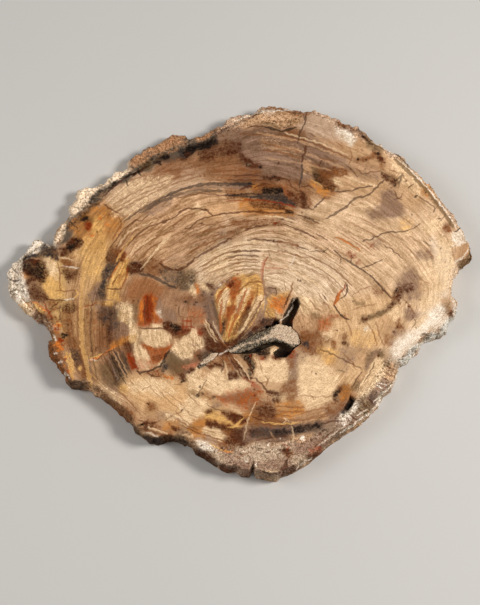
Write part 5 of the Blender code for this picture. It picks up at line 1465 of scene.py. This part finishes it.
def stoneNoises(start):
    across, down, level = start.attribute('growth').parts()
    place = start.objectPlace()
    noises = {name: start.packed(across * along, down * along, level * through).noise(1.0, detail)
              for name, (along, through, detail) in ringNoises.items()}
    for name, numbers in blockNoises.items():
        noises[name] = place.noise(*numbers)
    east, north, up = place.parts()
    noises['flutes'] = start.packed(east, north, up * fluteStretch).noise(*fluteNoise)
    return noises


def mixed(noises, strengths):
    # a sum of noises, each about 0 and with its own strength
    return sum((noises[name] - 0.5) * strength for name, strength in strengths.items())


def stainedStone(start, noises, grain, blotches, banding):
    look = stoneLook
    tone = look['tone'] + grain * banding * look['groundBanding'] + blotches + mixed(noises, look['groundSpeckle'])
    colour = start.attribute('ground').shaded(tone, look['groundWarmth'])
    tone = look['tone'] + grain * (look['stainGrain'] + banding * look['stainBanding'])
    tone = tone + blotches * look['stainBlotches'] + mixed(noises, look['stainSpeckle'])
    edge = mixed(noises, look['stainEdge']) + grain * look['stainEdgeGrain']
    cover = (noises['mottle'] + noises['ragged'] + noises['dust']).ramp(*look['stainCover'])
    for k, name in enumerate(stains):
        field = start.attribute('stains' + str(k // 3)).parts()[k % 3]
        toned = start.colour(*linearColour(*stains[name])).shaded(tone, look['stainWarmth'])
        colour = colour.blend((field + edge).ramp(*look['stainRamp']) * cover, toned)
    return colour


def grainedStone(colour, noises, banding):
    # dark threads along the rings, crazing, and dark and light flecks
    look = stoneLook
    seams = [noises[name].seam(width) * strength for name, (width, strength) in look['threadSeams'].items()]
    broken = (noises['rays'] + noises['dust']).ramp(*look['threadBreaks'])
    threads = seams[0].atLeast(seams[1]) * broken * (banding + look['threadBanding'])
    colour = colour.blend(threads.atMost(look['threadMost']), colour.shaded(*look['threadShade']))
    crazing = noises['crazing'].seam(look['crazingWidth']) * noises['mottle'].ramp(*look['crazingRamp'])
    colour = colour.blend(crazing * look['crazingStrength'], colour.shaded(*look['crazingShade']))
    flecks = noises['ragged'].ramp(*look['fleckRamp']) * look['fleckStrength']
    colour = colour.blend(flecks, colour.shaded(*look['fleckShade']))
    glints = (1 - noises['ragged']).ramp(*look['glintRamp']) * look['glintStrength']
    return colour.blend(glints, colour.shaded(*look['glintShade']))


def linedStone(start, colour, noises, blotches):
    # the thin lines and cracks over this colour, and where the cracks run
    look = stoneLook
    waver = mixed(noises, look['lineWaver'])
    girth = noises['mottle'].ramp(*look['lineGirth'])
    broken = noises['dust'].ramp(*look['lineBreaks'])
    cracks = []
    for k in range(thinLines['lineChannels'] + thinLines['crackChannels']):
        side, width, depth = start.attribute('line' + str(k)).parts()
        reach = (side + waver).size()
        mask = (1 + (width * girth - reach) / look['lineEdge']).atLeast(0.0).atMost(1.0) * depth * broken
        lineColour = start.attribute('lineColour' + str(k)).shaded(1 + blotches, look['lineWarmth'])
        colour = colour.blend(mask, lineColour)
        if k >= thinLines['lineChannels']:
            cracks.append(mask)
    return colour, cracks[0].atLeast(cracks[1])


def stoneFinish():
    look = stoneLook
    material, shader, start = newMaterial('fossilWood')
    noises = stoneNoises(start)
    bark, hollowAndPaintedShade, underside = start.attribute('surface').parts()
    banding, weather = start.attribute('zone').parts()[:2]
    grain, blotches = mixed(noises, look['grain']), mixed(noises, look['blotches'])

    colour = stainedStone(start, noises, grain, blotches, banding)
    colour = grainedStone(colour, noises, banding)
    # painted shade inside the openings, darker further down
    colour = colour.blend(hollowAndPaintedShade, colour.shaded(look['hollowPaintedShade']))
    colour, cracks = linedStone(start, colour, noises, blotches)

    crust = (weather + mixed(noises, look['weatherEdge'])).ramp(*look['weatherRamp']) * (1 - hollowAndPaintedShade)
    crust = crust.atLeast(bark)
    # the crust's own colour with painted shade: darker where the crags, pits and flutes that make its bumps go down
    tone = look['crustTone'] + sum(noises[name].ramp(*ramp) for name, ramp in look['crustToneAndShadeRamps'].items())
    crustColourAndShade = colour.shaded(tone + mixed(noises, look['crustDust']), look['crustWarmth'])
    plug(colour.blend(crust, crustColourAndShade), shader, 'Base Color')

    shader.inputs['Specular IOR Level'].default_value = look['specular']
    roughness = look['roughness'] + crust * look['crustRoughness'] + hollowAndPaintedShade * look['hollowRoughness']
    roughness = roughness + underside * look['undersideRoughness'] + mixed(noises, look['polishMarks'])
    plug(roughness, shader, 'Roughness')
    relief = mixed(noises, look['faceRelief']) + mixed(noises, look['crustRelief']) * crust
    relief = relief - cracks * look['grooveDepth']
    plug(start.node('ShaderNodeBump', {}, {
        'Height': relief, 'Distance': look['reliefDistance'], 'Strength': look['reliefStrength']}), shader, 'Normal')
    return material


def makeSlab():
    piece = finishPiece(shapeSlab(), 'polishedSlice', stoneFinish())
    piece.data.shade_smooth()
    piece.data.set_sharp_from_angle(angle=slab['sharpAngle'])
    paintSlab(piece.data)
    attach(piece, 'root')
    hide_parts('fossil_wood_slab')


# Quartz crusts, in metres: how finely they are cut up, how far their edges swell towards the stone and their loose
# crystal points. Where the crystals are clean and bright is an outline in photograph pixels.
druse = dict(
    finestEdge=0.0011, rounds=4, cutDepth=0.004, shapedDepth=0.003, belowFace=0.0002,
    grain=900, rise=0.0012, grainMiddle=0.35,
    edgeSwell=0.0032, swellLeast=0.7, swellNoise=0.5, swellScale=500,
    points=900, pointsArea=0.0014,                              # this many on this area or more
    pointRadius=(0.0004, 0.0009), pointHeight=(0.0008, 0.0022), pointSides=6, pointTip=0.1, pointTilt=0.7, seed=4,
    bright=[190,368, 198,356, 214,349, 232,348, 240,343, 256,340, 267,334, 274,325, 284,318, 293,327, 301,334, 300,346,
            290,345, 276,339, 262,341, 244,347, 232,353, 214,362],
)

# Looks of the quartz. Its colours are screen colours, between and on the grains.
quartzLook = dict(
    grains=(460, 3.0, 0.75), sugar=(950, 2.0, 0.6), broad=(130, 4.0, 0.65),
    cleanBroad=6, cleanGrains=4, cleanRamp=(-0.3, 2.4), furthest=4,
    dull=(58, 47, 34), dullGrains=(158, 138, 110), dullRamp=(0.45, 0.62),
    white=(142, 116, 90), whiteGrains=(230, 204, 174), whiteRamp=(0.8, 1.08),
    tone=0.8, toneBroad=0.4, roughness=0.2, roughGrains=0.4,
)


def quartzFinish():
    look = quartzLook
    material, shader, start = newMaterial('sugaryQuartz')
    place = start.objectPlace()
    grains, sugar, broad = [place.noise(*look[name]) for name in ('grains', 'sugar', 'broad')]
    dull, dullGrains, white, whiteGrains = [start.colour(*linearColour(*look[name]))
                                            for name in ('dull', 'dullGrains', 'white', 'whiteGrains')]
    core = start.attribute('zone').parts()[0]
    clean = core + (broad - 0.5) * look['cleanBroad'] + (grains - 0.5) * look['cleanGrains']
    dull = dull.blend(grains.ramp(*look['dullRamp']), dullGrains)
    white = white.blend((grains + sugar).ramp(*look['whiteRamp']), whiteGrains)
    colour = dull.blend(clean.ramp(*look['cleanRamp']), white)
    plug(colour.shaded(look['tone'] + broad * look['toneBroad']), shader, 'Base Color')
    plug(look['roughness'] + grains * look['roughGrains'], shader, 'Roughness')
    return material


def growPoints(mesh, seed):
    # small six-sided crystals standing askew on the crust, sunk into it
    draw = np.random.default_rng(seed)
    tops = [(face.calc_center_median(), face.calc_area()) for face in mesh.faces if face.normal.z > 0.5]
    areas = np.array([area for place, area in tops])
    count = int(druse['points'] * min(1, areas.sum() / druse['pointsArea']))
    for k in draw.choice(len(tops), count, p=areas / areas.sum()):
        radius, height = draw.uniform(*druse['pointRadius']), draw.uniform(*druse['pointHeight'])
        turn = Euler((*draw.uniform(-druse['pointTilt'], druse['pointTilt'], 2), draw.uniform(0, math.tau)))
        place = Matrix.Translation(tops[k][0]) @ turn.to_matrix().to_4x4()
        bmesh.ops.create_cone(mesh, cap_ends=True, segments=druse['pointSides'], radius1=radius,
                              radius2=radius * druse['pointTip'], depth=height, matrix=place)


def shapeDruse(node, seed):
    mesh = mergedCopy(node)
    mesh.normal_update()
    for step in range(druse['rounds']):
        cutUp(mesh, [edge for edge in mesh.edges if edge.calc_length() > druse['finestEdge']
                     and min(v.co.z for v in edge.verts) > faceHeight - druse['cutDepth']])
    mesh.normal_update()
    for vert in mesh.verts:
        if vert.co.z > faceHeight - druse['shapedDepth']:
            outward = Vector((vert.normal.x, vert.normal.y, 0))
            cell = noise.voronoi(vert.co * druse['grain'])[0]
            swell = druse['swellLeast'] + druse['swellNoise'] * noise.noise(vert.co * druse['swellScale'])
            vert.co += outward * druse['edgeSwell'] * swell
            vert.co.z -= druse['rise'] * (cell[0] - druse['grainMiddle'])
    mesh.normal_update()
    growPoints(mesh, seed)
    for vert in mesh.verts:
        vert.co.z = min(vert.co.z, faceHeight - druse['belowFace'])
    return mesh


def makeDruse(node, name):
    piece = finishPiece(shapeDruse(node, druse['seed'] + len(name)), name, quartzFinish())
    places = np.array([v.co[:] for v in piece.data.vertices])
    core = outlineDistance(pixelsOf(places), druse['bright']).clip(-quartzLook['furthest'], quartzLook['furthest'])
    storeVector(piece.data, 'zone', np.stack([core, core * 0, core * 0], axis=1))
    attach(piece, 'root')
    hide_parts(node)
    print(name, 'made')


makeCamera()
makeStudio()
makeSlab()
makeDruse('crevice_druse', 'creviceQuartz')
makeDruse('seam_druse', 'seamQuartz')
